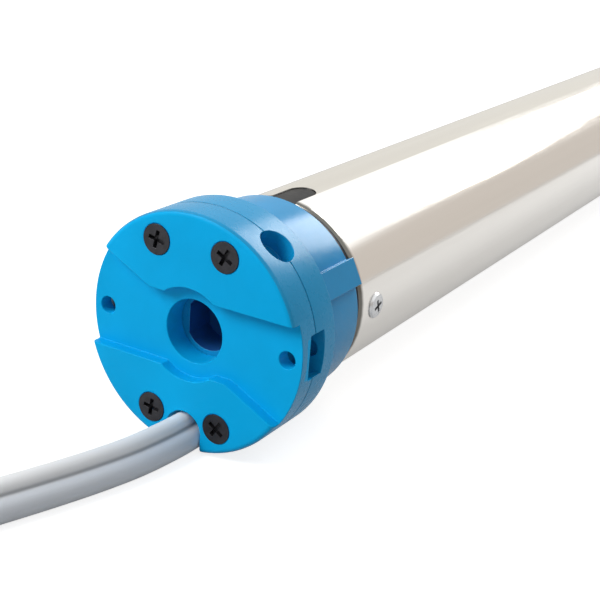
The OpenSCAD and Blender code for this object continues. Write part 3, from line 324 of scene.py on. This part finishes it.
hank_line = hank_point(np.arange(FIRST_STEP, LAST_STEP + 1.0))
near_fold = np.array([HANK_START[0] - hank_line[0, 0], HANK_START[1] - hank_line[0, 1], 0.0])
hank_line = hank_line + near_fold
hank_rows = np.column_stack([hank_line, np.zeros(len(hank_line))])
cable_rows = smooth_line(np.vstack([lead_route(), hank_rows]), ROW_STEP)
cable_line, cable_tilt = cable_rows[:, :3], cable_rows[:, 3]
outline = sheath_outline()
girth = np.linalg.norm(np.diff(outline, axis=0, append=outline[:1]), axis=1).sum() * MM
sheath = grid_piece("cable_sheath", swept(cable_line, outline, cable_tilt))
sheath_grey = finish("sheath_grey", (0.82, 0.82, 0.82), 0.44, tone=0.04, patch=0.006, grain=0.0005,
                     relief=0.5, along_uv=True, stretch=(0.12, 1, 1))
tree = sheath_grey.node_tree
across = tree.nodes.new("ShaderNodeSeparateXYZ")
tree.links.new(tree.nodes["Texture Coordinate"].outputs["UV"], across.inputs["Vector"])
turned = maths(tree, "MULTIPLY", across.outputs["Y"], 2 * math.pi / girth)
# Painted shade: the crease where the lobes meet is darkened in the colour.
crease = maths(tree, "POWER", maths(tree, "ABSOLUTE", maths(tree, "COSINE", turned)), CREASE_POWER)
# Painted shade: the larger lobe is coloured darker.
shaded_lobe = stepped(tree, maths(tree, "SINE", turned), -LOBE_EDGE, LOBE_EDGE)
base = tree.nodes["Principled BSDF"].inputs["Base Color"]
lobe_shaded = between(tree, shaded_lobe, base.links[0].from_socket, SHADED_LOBE_GREY)
tree.links.new(between(tree, crease, lobe_shaded, CREASE_SHADE_GREY), base)
sheath.data.materials.append(sheath_grey)
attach(sheath, "motor")
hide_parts("cable_lead", "cable_hank")
dress(sheath_grey, "cable_entry")

# Stripped cores at the cable's end
# Four stranded cores with coloured insulation. They go straight out of the sheath, then lie along the near
# fold on the turn below, and the last few millimetres of each are bare tinned copper.
CORE_R, BARE_R, CORE_LEN, BARE_PART = 0.8, 0.52, 22.0, 0.24
CORE_STRAIGHT, CORE_INWARD, CORE_STEP = 1.5, 1.3, 0.8
FIRST_KNOT, CORE_KNOTS, WIRE_SIDES = 0.25, 7, 12
CORES = [("blue", (0.01, 0.09, 0.5), (-0.95, -2.5), (-0.95, -4.1)),
         ("brown", (0.12, 0.045, 0.02), (0.95, -2.5), (0.95, -4.1)),
         ("black", (0.015, 0.015, 0.016), (0, -0.6), (-1.1, -2.4)),
         ("green", (0.10, 0.36, 0.03), (0, 2.35), (1.1, -2.4))]
end_way = (hank_line[-1] - hank_line[-2]) / np.linalg.norm(hank_line[-1] - hank_line[-2])
end_left = np.array([-end_way[1], end_way[0], 0.0])
round_wire = np.linspace(0, 2 * math.pi, WIRE_SIDES + 1)[:-1]
round_wire = np.column_stack([np.cos(round_wire), np.sin(round_wire)])


def core_line(leave, rest):
    """Line of one core: straight out of its place leave in the sheath, then round the fold while it settles
    from leave to its place rest, both given across and up."""
    straight = hank_line[-1] + np.array([[0.0], [CORE_STRAIGHT]]) * end_way
    straight = straight + end_left * leave[0] + np.cross(end_way, end_left) * leave[1]
    t = np.linspace(FIRST_KNOT, 1, CORE_KNOTS)[:, None]
    place = np.array(leave) + (np.array(rest) - np.array(leave)) * eased(t)
    radius = loop_radius(np.array([float(LAST_STEP)]))[0] - t[:, 0] * CORE_INWARD - place[:, 0]
    angle = -math.pi / 2 + CORE_LEN * t[:, 0] / radius
    laid = np.column_stack([near_fold[0] + radius * np.cos(angle), near_fold[1] + radius * np.sin(angle),
                            hank_line[-1, 2] + place[:, 1]])
    return smooth_line(np.vstack([straight, laid]), CORE_STEP)


tinned = finish("tinned_copper", (0.62, 0.50, 0.38), 0.34, 1.0, tone=0.15, patch=0.001, grain=0.0002,
                relief=0.8, along_uv=True, stretch=(0.1, 1, 1))
for label, color, leave, rest in CORES:
    line = core_line(leave, rest)
    split = round(len(line) * (1 - BARE_PART))
    insulation = finish(f"insulation_{label}", color, 0.36, tone=0.06, patch=0.002, grain=0.0003,
                        along_uv=True)
    for part, cut, radius, look in (("core", line[:split + 1], CORE_R, insulation),
                                    ("strands", line[split - 1:], BARE_R, tinned)):
        piece = grid_piece(f"{part}_{label}", swept(cut, radius * round_wire, np.zeros(len(cut))))
        piece.data.materials.append(look)
        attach(piece, "motor")
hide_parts("cable_end_cores")

# Strap round the hank
# A black rubber strap at the waist of the hank. It goes round both runs once, and its rounded free end lies
# on its own outside.
TIE_LAP, LAP_FROM, LAP_TO, LAP_RISE, LAP_AIR = 26.0, 4, 8, 6, 0.05
CORNER_POINTS, LAP_POINTS, STRAP_STEP, END_WIDTH = 7, 14, 1.5, 0.02
BAR_STEP, BAR_ENDS, BAR_FACES = 22.5, 0.25, 0.7
tie_room = BIG_LOBE + TIE_GAP + HANK_DRAW * TIE_W / HANK_RUN
TIE_NEAR = near_fold[1] - loop_radius(np.array([RUN_STEPS * 1.5 + FOLD_STEPS]))[0] + HANK_DRAW - tie_room
TIE_FAR = near_fold[1] + loop_radius(np.array([RUN_STEPS / 2]))[0] - HANK_DRAW + tie_room
TIE_LOW = SURFACE_Z + TIE_THICK
TIE_TOP = SURFACE_Z + HANK_RISE + HANK_LAYERS * HANK_LAYER - HANK_GAP + TIE_GAP
TIE_X = near_fold[0] - HANK_RUN / 2


def strap_grid():
    """Rings of the strap: a thin bar's outline, a cosine and a sine raised to small powers, carried round a
    rounded rectangle, with its last stretch moved outwards by its own thickness and its free end narrowed to
    a half round."""
    corner, thick = TIE_ROUND + TIE_THICK / 2, TIE_THICK
    low, high = np.array([TIE_NEAR, TIE_LOW]) - thick / 2, np.array([TIE_FAR, TIE_TOP]) + thick / 2
    middle = (low[0] + high[0]) / 2
    corners = [(low[0], high[1]), (low[0], low[1]), (high[0], low[1]), (high[0], high[1])]
    path, way = [(middle + LAP_FROM, high[1])], [(0.0, 1.0)]
    for n, (y, z) in enumerate(corners):
        centre = np.array([y + (corner if n < 2 else -corner), z + (corner if n in (1, 2) else -corner)])
        for a in np.radians(np.linspace(90 + 90 * n, 180 + 90 * n, CORNER_POINTS)):
            path.append(tuple(centre + corner * np.array([math.cos(a), math.sin(a)])))
            way.append((math.cos(a), math.sin(a)))
    for y in np.linspace(0, TIE_LAP, LAP_POINTS):
        path.append((middle + LAP_TO - y, high[1]))
        way.append((0.0, 1.0))
    path, way = np.array(path), np.array(way)
    dense = smooth_line(np.column_stack([path, np.zeros(len(path)), way]), STRAP_STEP)
    line, out = dense[:, :2], dense[:, 3:] / np.linalg.norm(dense[:, 3:], axis=1)[:, None]
    length = np.concatenate([[0], np.cumsum(np.linalg.norm(np.diff(line, axis=0), axis=1))])
    lap = eased((length - (length[-1] - TIE_LAP - LAP_FROM)) / LAP_RISE)
    line = line + out * (lap * (thick + LAP_AIR))[:, None]
    left = length[-1] - length
    width = TIE_W / 2 * np.sqrt(np.clip(1 - (1 - np.clip(left / (TIE_W / 2), 0, 1)) ** 2, END_WIDTH, 1))
    a = np.radians(np.arange(0, 360, BAR_STEP) + BAR_STEP / 2)
    bar = np.column_stack([np.sign(np.cos(a)) * np.abs(np.cos(a)) ** BAR_ENDS,
                           np.sign(np.sin(a)) * np.abs(np.sin(a)) ** BAR_FACES])
    x = TIE_X + width[:, None] * bar[None, :, 0]
    yz = line[:, None] + out[:, None] * (bar[None, :, 1] * thick / 2)[..., None]
    return np.concatenate([x[..., None], yz], axis=-1)[:, ::-1]


strap = grid_piece("hank_strap", strap_grid())
strap_rubber = finish("strap_rubber", (0.02, 0.02, 0.022), 0.55, tone=0.2, patch=0.004, grain=0.0006,
                      relief=0.8, along_uv=True)
strap.data.materials.append(strap_rubber)
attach(strap, "motor")
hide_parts("cable_tie")

# Head cover
# The front half of the head, moulded in cyan-blue plastic, satin on its face and glossier round its rim,
# where its colour is darker as painted shade. It is a disc with the bracket recess, the socket, two bracket
# holes and the cable notch, and it is screwed to the body.
WELD, FLAT_ANGLE, SHARP_ANGLE = 2e-6, math.radians(0.6), math.radians(32)
HEAD_R, RIM_BAND = 0.027, 0.0003
SATIN, GLOSSY = {"Specular_IOR_Level": 0.06}, {"Specular_IOR_Level": 0.25}


def softened(node, width):
    """A copy of the node's solid with its seams merged and its flat faces whole; every edge that is sharper
    than the sharp angle is rounded to width, in metres, or left as it is where width is 0."""
    work = bmesh.new()
    work.from_mesh(frame["nodes"][node].data)
    bmesh.ops.remove_doubles(work, verts=work.verts, dist=WELD)
    bmesh.ops.dissolve_limit(work, angle_limit=FLAT_ANGLE, verts=work.verts, edges=work.edges)
    mesh = bpy.data.meshes.new("soft_" + node)
    work.to_mesh(mesh)
    work.free()
    if "custom_normal" in mesh.attributes:
        mesh.attributes.remove(mesh.attributes["custom_normal"])
    mesh.polygons.foreach_set("use_smooth", np.ones(len(mesh.polygons), bool))
    mesh.set_sharp_from_angle(angle=SHARP_ANGLE)
    piece = bpy.data.objects.new("soft_" + node, mesh)
    bpy.context.scene.collection.objects.link(piece)
    if width:
        bevel = piece.modifiers.new("edges", "BEVEL")
        bevel.width, bevel.segments, bevel.limit_method = width, 2, "ANGLE"
        bevel.angle_limit = SHARP_ANGLE
        bevel.use_clamp_overlap = False
        bevel.harden_normals = True
        bevel.miter_outer = "MITER_ARC"
    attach(piece, frame["nodes"][node]["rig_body"])
    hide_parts(node)
    return piece


def from_axis(made):
    """Distance of every face's centre from the motor's axis, in metres."""
    spots = np.zeros(3 * len(made.data.polygons))
    made.data.polygons.foreach_get("center", spots)
    return np.hypot(spots[1::3], spots[2::3])


head_blue = finish("head_blue", (0.002, 0.375, 0.74), 0.36, tone=0.05, patch=0.012, grain=0.0005,
                   relief=0.3, **SATIN)
# Painted shade: the rim's blue is a darker copy of the face's blue.
shaded_rim_blue = finish("shaded_rim_blue", (0.004, 0.265, 0.52), 0.28, tone=0.05, patch=0.012, spread=0.03, grain=0.0005,
                  relief=0.04, **GLOSSY)
cover = softened("head_cover", width=0.00022)
cover.data.materials.append(head_blue)
cover.data.materials.append(shaded_rim_blue)
on_rim = from_axis(cover) > HEAD_R - RIM_BAND
cover.data.polygons.foreach_set("material_index", on_rim.astype(np.int32))

# Head body
# The back half of the head in the same plastic, with painted shade down in the socket, and with the two
# setting holes that it shares with the cover. A black flanged pipe is screwed into its back and carries the
# crown ring.
SOCKET_R, SOCKET_BAND = 0.0072, 0.0004
head_body = softened("head_body", width=0.00015)
# The body's outside takes the rim's darker blue, a painted shade.
head_body.data.materials.append(shaded_rim_blue)
# Painted shade: the socket's faces are coloured a darker blue.
socket_shade_blue = finish("socket_shade_blue", (0.014, 0.085, 0.27), 0.34, tone=0.1, patch=0.004, grain=0.0004,
                     relief=0.2, **SATIN)
head_body.data.materials.append(socket_shade_blue)
in_socket = from_axis(head_body) < SOCKET_R + SOCKET_BAND
head_body.data.polygons.foreach_set("material_index", in_socket.astype(np.int32))
black_plastic = finish("black_plastic", (0.012, 0.012, 0.013), 0.40, tone=0.15, patch=0.008, grain=0.0004,
                       relief=0.5, Specular_IOR_Level=0.14)
dress(black_plastic, "head_neck", "limit_switches")

# Face screws
# Four countersunk screws with cross recesses clamp the two halves of the head together. They are blackened
# steel, worn a little lighter in patches.
screw_black = finish("screw_black", (0.028, 0.028, 0.033), 0.36, 0.5, tone=0.3, patch=0.0016,
                     grain=0.00025, relief=0.8)
softened("face_screws", width=0.00006).data.materials.append(screw_black)

# Captive nut
# A square steel nut lies loose in a slot behind a bracket hole, and takes the screw that holds the bracket.
# The left slot has its nut, and the right one is still empty.
NUT_SIDE, NUT_THICK, NUT_BORE = 6.6, 3.2, 3.3
NUT_X, NUT_Y = 4.4, 23.3
NUT_STEP, NUT_POWER = 7.5, 12
BORE_DEEP, BORE_WIDE, FRONT_EDGE, BACK_EDGE = 0.35, 0.3, 0.4, 0.2


def square_nut(name):
    """Rings of a square nut round its hole, each a radius, a depth and a share of squareness: the outline
    goes from a circle, the bore, to a rounded square of the twelfth power, the outside, and back, with small
    chamfers at both faces."""
    turn = np.radians(np.arange(0, 360, NUT_STEP) + NUT_STEP / 2)
    square = (np.abs(np.cos(turn)) ** NUT_POWER + np.abs(np.sin(turn)) ** NUT_POWER) ** (-1 / NUT_POWER)
    bore, outside = NUT_BORE / 2, NUT_SIDE / 2
    rings = [(bore, BORE_DEEP, 0.0), (bore + BORE_WIDE, 0.0, 0.0),
             (outside - FRONT_EDGE, 0.0, 1.0), (outside, FRONT_EDGE, 1.0),
             (outside, NUT_THICK - BACK_EDGE, 1.0), (outside - BACK_EDGE, NUT_THICK, 1.0),
             (bore + BORE_WIDE, NUT_THICK, 0.0), (bore, NUT_THICK - BORE_DEEP, 0.0), (bore, BORE_DEEP, 0.0)]
    points = []
    for radius, deep, squared in rings:
        reach = radius * (squared * square + 1 - squared)
        points.append(np.column_stack([np.full(len(turn), NUT_X + deep), NUT_Y + reach * np.cos(turn),
                                       reach * np.sin(turn)]))
    return grid_piece(name, np.array(points)[::-1], capped=False)


nut_steel = finish("nut_steel", (0.20, 0.20, 0.21), 0.35, 0.9, tone=0.15, patch=0.002, grain=0.0003,
                   relief=0.6)
nut = square_nut("bracket_nut")
work = bmesh.new()
work.from_mesh(nut.data)
bmesh.ops.remove_doubles(work, verts=work.verts, dist=WELD)
work.to_mesh(nut.data)
work.free()
nut.data.set_sharp_from_angle(angle=SHARP_ANGLE)
nut.data.materials.append(nut_steel)
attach(nut, "motor")

# Crown ring
# A ring with a key, moulded in blue plastic that is glossier than the head's. The roller tube takes it round
# by its key, so it turns on the neck, and its teeth inside drive the limit unit.
crown_blue = finish("crown_blue", (0.005, 0.26, 0.54), 0.21, tone=0.06, patch=0.01, grain=0.0005,
                    relief=0.05, Specular_IOR_Level=0.28)
softened("crown_ring", width=0.00012).data.materials.append(crown_blue)

# Limit unit
# A black housing closes the tube's front end, with its collar and tongue in sight. Inside it two white
# screws with pinions move two red nuts against two levers with switches; two blue adjusters set the ends.
softened("limit_housing", width=0.00012).data.materials.append(black_plastic)
white_acetal = finish("white_acetal", (0.80, 0.77, 0.70), 0.38, tone=0.03, patch=0.004, grain=0.0003)
dress(white_acetal, "limit_screw_up", "limit_screw_down", "cable_wedge")
nut_red = finish("red_nut", (0.55, 0.03, 0.02), 0.4, tone=0.06, patch=0.003, grain=0.0003)
dress(nut_red, "limit_nut_up", "limit_nut_down")
dress(shaded_rim_blue, "limit_adjuster_up", "limit_adjuster_down")
spring_steel = finish("spring_steel", (0.60, 0.60, 0.61), 0.3, 1.0, tone=0.1, patch=0.003, grain=0.0002,
                      stretch=(1, 1, 0.1))
dress(spring_steel, "switch_lever_up", "switch_lever_down")

# Wiring
# A green board with a terminal block in the end of the limit unit. Four black-jacketed cores come in from
# the cable, and three red wires run along the tube's lowest line to the motor.
board_green = finish("board_green", (0.012, 0.12, 0.04), 0.35, tone=0.3, patch=0.0012, grain=0.0003,
                     relief=0.6)
dress(board_green, "terminal_board")
dress(finish("block_green", (0.03, 0.22, 0.05), 0.42, tone=0.06, patch=0.004), "terminal_block")
dress(finish("core_jacket", (0.05, 0.05, 0.055), 0.4, tone=0.2, patch=0.003), "inner_cores")
dress(finish("wire_red", (0.42, 0.02, 0.015), 0.4, tone=0.1, patch=0.003), "motor_wires")

# Capacitor
# An aluminium can, drawn in one piece, with its fine drawing lines along the can, held in the tube by two
# black rubber rings.
drawn_aluminium = finish("drawn_aluminium", (0.78, 0.79, 0.80), 0.32, 1.0, tone=0.05, patch=0.004,
                         grain=0.0003, relief=0.7, stretch=(0.05, 1, 1))
dress(drawn_aluminium, "capacitor")
ring_rubber = finish("ring_rubber", (0.02, 0.02, 0.021), 0.6, tone=0.2, patch=0.004, grain=0.0006,
                     relief=0.8)
dress(ring_rubber, "capacitor_rings")

# Motor tube
# Thin steel tube, nickel plated and polished along its length, so fine lines run along it. Its front end is
# rolled in, darkened next to the crown ring by painted shade, has a notch for the housing's tongue, and
# takes two screws.
# SHADED_NICKEL is painted shade: a narrow dark band at the tube's front end.
TUBE_FRONT, SHADE_REACH, SHADE_PART, SHADED_NICKEL = 0.0329, 0.0018, 0.4, (0.16, 0.155, 0.14)
tube_nickel = finish("tube_nickel", (0.83, 0.805, 0.765), 0.15, 1.0, tone=0.02, patch=0.004, spread=0.04,
                     grain=0.00035, relief=0.25, stretch=(0.02, 1, 1))
tree = tube_nickel.node_tree
axes = tree.nodes.new("ShaderNodeSeparateXYZ")
tree.links.new(tree.nodes["Texture Coordinate"].outputs["Object"], axes.inputs["Vector"])
# Painted shade: a narrow dark band at the front end, where the tube meets the crown ring.
front_shade = stepped(tree, axes.outputs["X"], TUBE_FRONT + SHADE_REACH, TUBE_FRONT + SHADE_PART * SHADE_REACH)
base = tree.nodes["Principled BSDF"].inputs["Base Color"]
tree.links.new(between(tree, front_shade, base.links[0].from_socket, SHADED_NICKEL), base)
softened("motor_tube", width=0).data.materials.append(tube_nickel)

# Tube screws
# Low-headed steel screws, zinc plated, each with a cross recess: two hold the limit housing in the tube at
# the head's end, and four hold the end cap.
zinc = finish("zinc_plated", (0.62, 0.63, 0.64), 0.28, 1.0, tone=0.08, patch=0.0015, grain=0.0002,
              relief=0.6)
softened("tube_screws", width=0).data.materials.append(zinc)

# Motor
# Cast bells hold sintered bushes and the laminated stator with its enamelled copper windings. The rotor is a
# laminated core with cast end rings, pressed on the steel shaft.
cast_metal = finish("cast_metal", (0.50, 0.51, 0.53), 0.42, 1.0, tone=0.1, patch=0.004, grain=0.0007,
                    relief=1.0)
dress(cast_metal, "front_bell", "rear_bell", "rotor_end_rings", "gear_flange")
bronze = finish("sintered_bronze", (0.52, 0.33, 0.14), 0.4, 1.0, tone=0.12, patch=0.001, grain=0.0003,
                relief=0.8)
dress(bronze, "shaft_bushes", "output_bearings")
laminations = finish("laminations", (0.36, 0.36, 0.37), 0.4, 1.0, tone=0.25, patch=0.0005, grain=0.0005,
                     relief=1.0, stretch=(1, 0.02, 0.02))
dress(laminations, "stator_core", "rotor_core")
enamelled_copper = finish("enamelled_copper", (0.48, 0.17, 0.05), 0.3, 0.7, tone=0.3, patch=0.0009,
                          grain=0.0008, relief=1.0, stretch=(1, 0.15, 0.15))
dress(enamelled_copper, "stator_windings", "brake_coil")
ground_steel = finish("ground_steel", (0.56, 0.56, 0.57), 0.24, 1.0, tone=0.05, patch=0.002, grain=0.0002,
                      relief=0.5, stretch=(1, 0.1, 0.1))
dress(ground_steel, "motor_shaft", "output_shaft")

# Brake
# A coil spring pushes a steel armature against a dark friction disc on the shaft; the coil in the yoke pulls
# it back, and the spring shortens as it does.
SPRING_TURNS, TURN_RINGS, SPRING_WIRE, SPRING_KEEP = 6, 30, 0.5, 0.95


def coil_spring(name, low, high):
    """Tube round a helix about the X axis, between two corners of its box in millimetres: the wire's middle
    goes round and forward at an even pace, and each ring stands square to it."""
    t = np.linspace(0, 1, SPRING_TURNS * TURN_RINGS + 1)[:, None]
    turned = 2 * math.pi * SPRING_TURNS * t
    radius = (high[1] - low[1]) / 2 - SPRING_WIRE
    forward = high[0] - low[0] - 2 * SPRING_WIRE
    out = np.hstack([0 * t, np.cos(turned), np.sin(turned)])
    ahead = np.hstack([0 * t + forward, -radius * 2 * math.pi * SPRING_TURNS * np.sin(turned),
                       radius * 2 * math.pi * SPRING_TURNS * np.cos(turned)])
    ahead /= np.linalg.norm(ahead, axis=1)[:, None]
    middle = np.hstack([low[0] + SPRING_WIRE + forward * t, 0 * t, 0 * t]) + radius * out
    side = np.cross(out, ahead)
    return grid_piece(name, middle[:, None] + SPRING_WIRE * (
        out[:, None] * round_wire[None, :, :1] + side[:, None] * round_wire[None, :, 1:]))


spring_low, spring_high = [np.array(corner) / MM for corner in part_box("brake_spring")]
spring = coil_spring("brake_coil_spring", spring_low, spring_high)
spring.data.materials.append(spring_steel)
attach(spring, frame["nodes"]["brake_spring"]["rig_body"])
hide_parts("brake_spring")
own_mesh(spring)
yoke_iron = finish("yoke_iron", (0.30, 0.31, 0.33), 0.45, 1.0, tone=0.12, patch=0.003, grain=0.0004,
                   relief=0.8)
dress(yoke_iron, "brake_yoke", "brake_armature")
lining = finish("friction_lining", (0.05, 0.04, 0.035), 0.8, tone=0.4, patch=0.0012, grain=0.0006,
                relief=1.0)
dress(lining, "brake_disc")

# Gearbox
# Three planetary stages in one housing with the ring teeth: moulded planets on steel carriers, each carrier
# with the next sun gear on it.
gear_case = finish("gear_case", (0.42, 0.42, 0.43), 0.4, 1.0, tone=0.08, patch=0.003, grain=0.0005,
                   relief=0.8)
dress(gear_case, "gear_housing")
planet_resin = finish("planet_resin", (0.72, 0.68, 0.56), 0.4, tone=0.05, patch=0.003, grain=0.0003)
dress(planet_resin, *[f"stage_{stage}_planet_{planet}" for stage in (1, 2, 3) for planet in "abc"])
dress(ground_steel, "stage_1_carrier", "stage_2_carrier")

# End cap, drive wheel and wheel screw
# A black cap closes the tube and holds the output shaft's bearings. The blue drive wheel sits on the shaft's
# square end under a screw with a washer, and its key fits the roller tube's groove.
softened("end_cap", width=0.0002).data.materials.append(black_plastic)
softened("drive_wheel", width=0.0002).data.materials.append(shaded_rim_blue)
softened("wheel_screw", width=0.00008).data.materials.append(zinc)

# Floor, world and lamps
# A pale floor in a pale room. In reflections the room is white overhead, and warm and a little darker at the
# height of the eye, so the tube shows soft bands. The floor is white to the eye and keeps a soft shadow.
bpy.context.scene.view_settings.view_transform = "Standard"
SOFT_LIGHT, OVERHEAD, GLOW_SEEN, GLOW_MIRRORED = 0.46, 1.25, 0.80, 0.27
NEAR_WALL, FAR_WALL, LID = (0.56, 0.52, 0.485), (0.675, 0.66, 0.62), (1.0, 1.0, 1.0)
WALL_FROM, WALL_FULL = -0.3, 0.25
LID_FROM, LID_FULL = 0.41, 0.47
FRONT_AT, FRONT_WIDE, FRONT_WATTS = (-0.63, 0.48, 0.70), 0.5, 9.0
BACK_AT, BACK_WIDE, BACK_WATTS = (1.05, -0.16, 0.72), 0.6, 9.4
FLOOR_REACH = 4.0

world = bpy.data.worlds.new("studio")
world.use_nodes = True
room = world.node_tree
toward = room.nodes.new("ShaderNodeTexCoord")
axes = room.nodes.new("ShaderNodeSeparateXYZ")
room.links.new(toward.outputs["Generated"], axes.inputs["Vector"])
walls = between(room, stepped(room, axes.outputs["Y"], WALL_FROM, WALL_FULL), NEAR_WALL, FAR_WALL)
shown = between(room, stepped(room, axes.outputs["Z"], LID_FROM, LID_FULL), walls, LID)
rays = room.nodes.new("ShaderNodeLightPath")
mirrored = maths(room, "MAXIMUM", rays.outputs["Is Glossy Ray"], rays.outputs["Is Transmission Ray"])
plain = maths(room, "MAXIMUM", rays.outputs["Is Camera Ray"], SOFT_LIGHT)
diffuse_room = room.nodes["Background"]
room.links.new(plain, diffuse_room.inputs["Strength"])
diffuse_room.inputs["Color"].default_value = (1, 1, 1, 1)
shown_room = room.nodes.new("ShaderNodeBackground")
shown_room.inputs["Strength"].default_value = OVERHEAD
room.links.new(shown, shown_room.inputs["Color"])
both_rooms = room.nodes.new("ShaderNodeMixShader")
room.links.new(mirrored, both_rooms.inputs[0])
room.links.new(diffuse_room.outputs[0], both_rooms.inputs[1])
room.links.new(shown_room.outputs[0], both_rooms.inputs[2])
room.links.new(both_rooms.outputs[0], room.nodes["World Output"].inputs["Surface"])
bpy.context.scene.world = world


def lamp(name, place, wide, watts):
    """A square area lamp at place that faces the head's front, the origin, in metres."""
    light = bpy.data.lights.new(name, "AREA")
    light.size, light.energy = wide, watts
    made = bpy.data.objects.new(name, light)
    made.location = place
    made.rotation_mode = "QUATERNION"
    made.rotation_quaternion = (-Vector(place)).to_track_quat("-Z", "Y")
    bpy.context.scene.collection.objects.link(made)


lamp("front_box", FRONT_AT, FRONT_WIDE, FRONT_WATTS)
lamp("back_box", BACK_AT, BACK_WIDE, BACK_WATTS)

floor_mesh = bpy.data.meshes.new("floor")
floor_corners = [(x * FLOOR_REACH, y * FLOOR_REACH, SURFACE_Z * MM)
                 for x, y in ((-1, -1), (1, -1), (1, 1), (-1, 1))]
floor_mesh.from_pydata(floor_corners, [], [(0, 1, 2, 3)])
floor = bpy.data.objects.new("floor", floor_mesh)
bpy.context.scene.collection.objects.link(floor)
floor_white = finish("floor_white", (0.43, 0.43, 0.43), 0.9, tone=0.01, patch=0.5, relief=0.02)
tree = floor_white.node_tree
rays = tree.nodes.new("ShaderNodeLightPath")
mirrored = maths(tree, "MAXIMUM", rays.outputs["Is Glossy Ray"], rays.outputs["Is Transmission Ray"])
mirrored = maths(tree, "MULTIPLY", mirrored, GLOW_MIRRORED)
seen = maths(tree, "MULTIPLY_ADD", rays.outputs["Is Camera Ray"], GLOW_SEEN, mirrored)
glow = tree.nodes.new("ShaderNodeEmission")
tree.links.new(seen, glow.inputs["Strength"])
added = tree.nodes.new("ShaderNodeAddShader")
tree.links.new(tree.nodes["Principled BSDF"].outputs[0], added.inputs[0])
tree.links.new(glow.outputs[0], added.inputs[1])
tree.links.new(added.outputs[0], tree.nodes["Material Output"].inputs["Surface"])
floor_mesh.materials.append(floor_white)
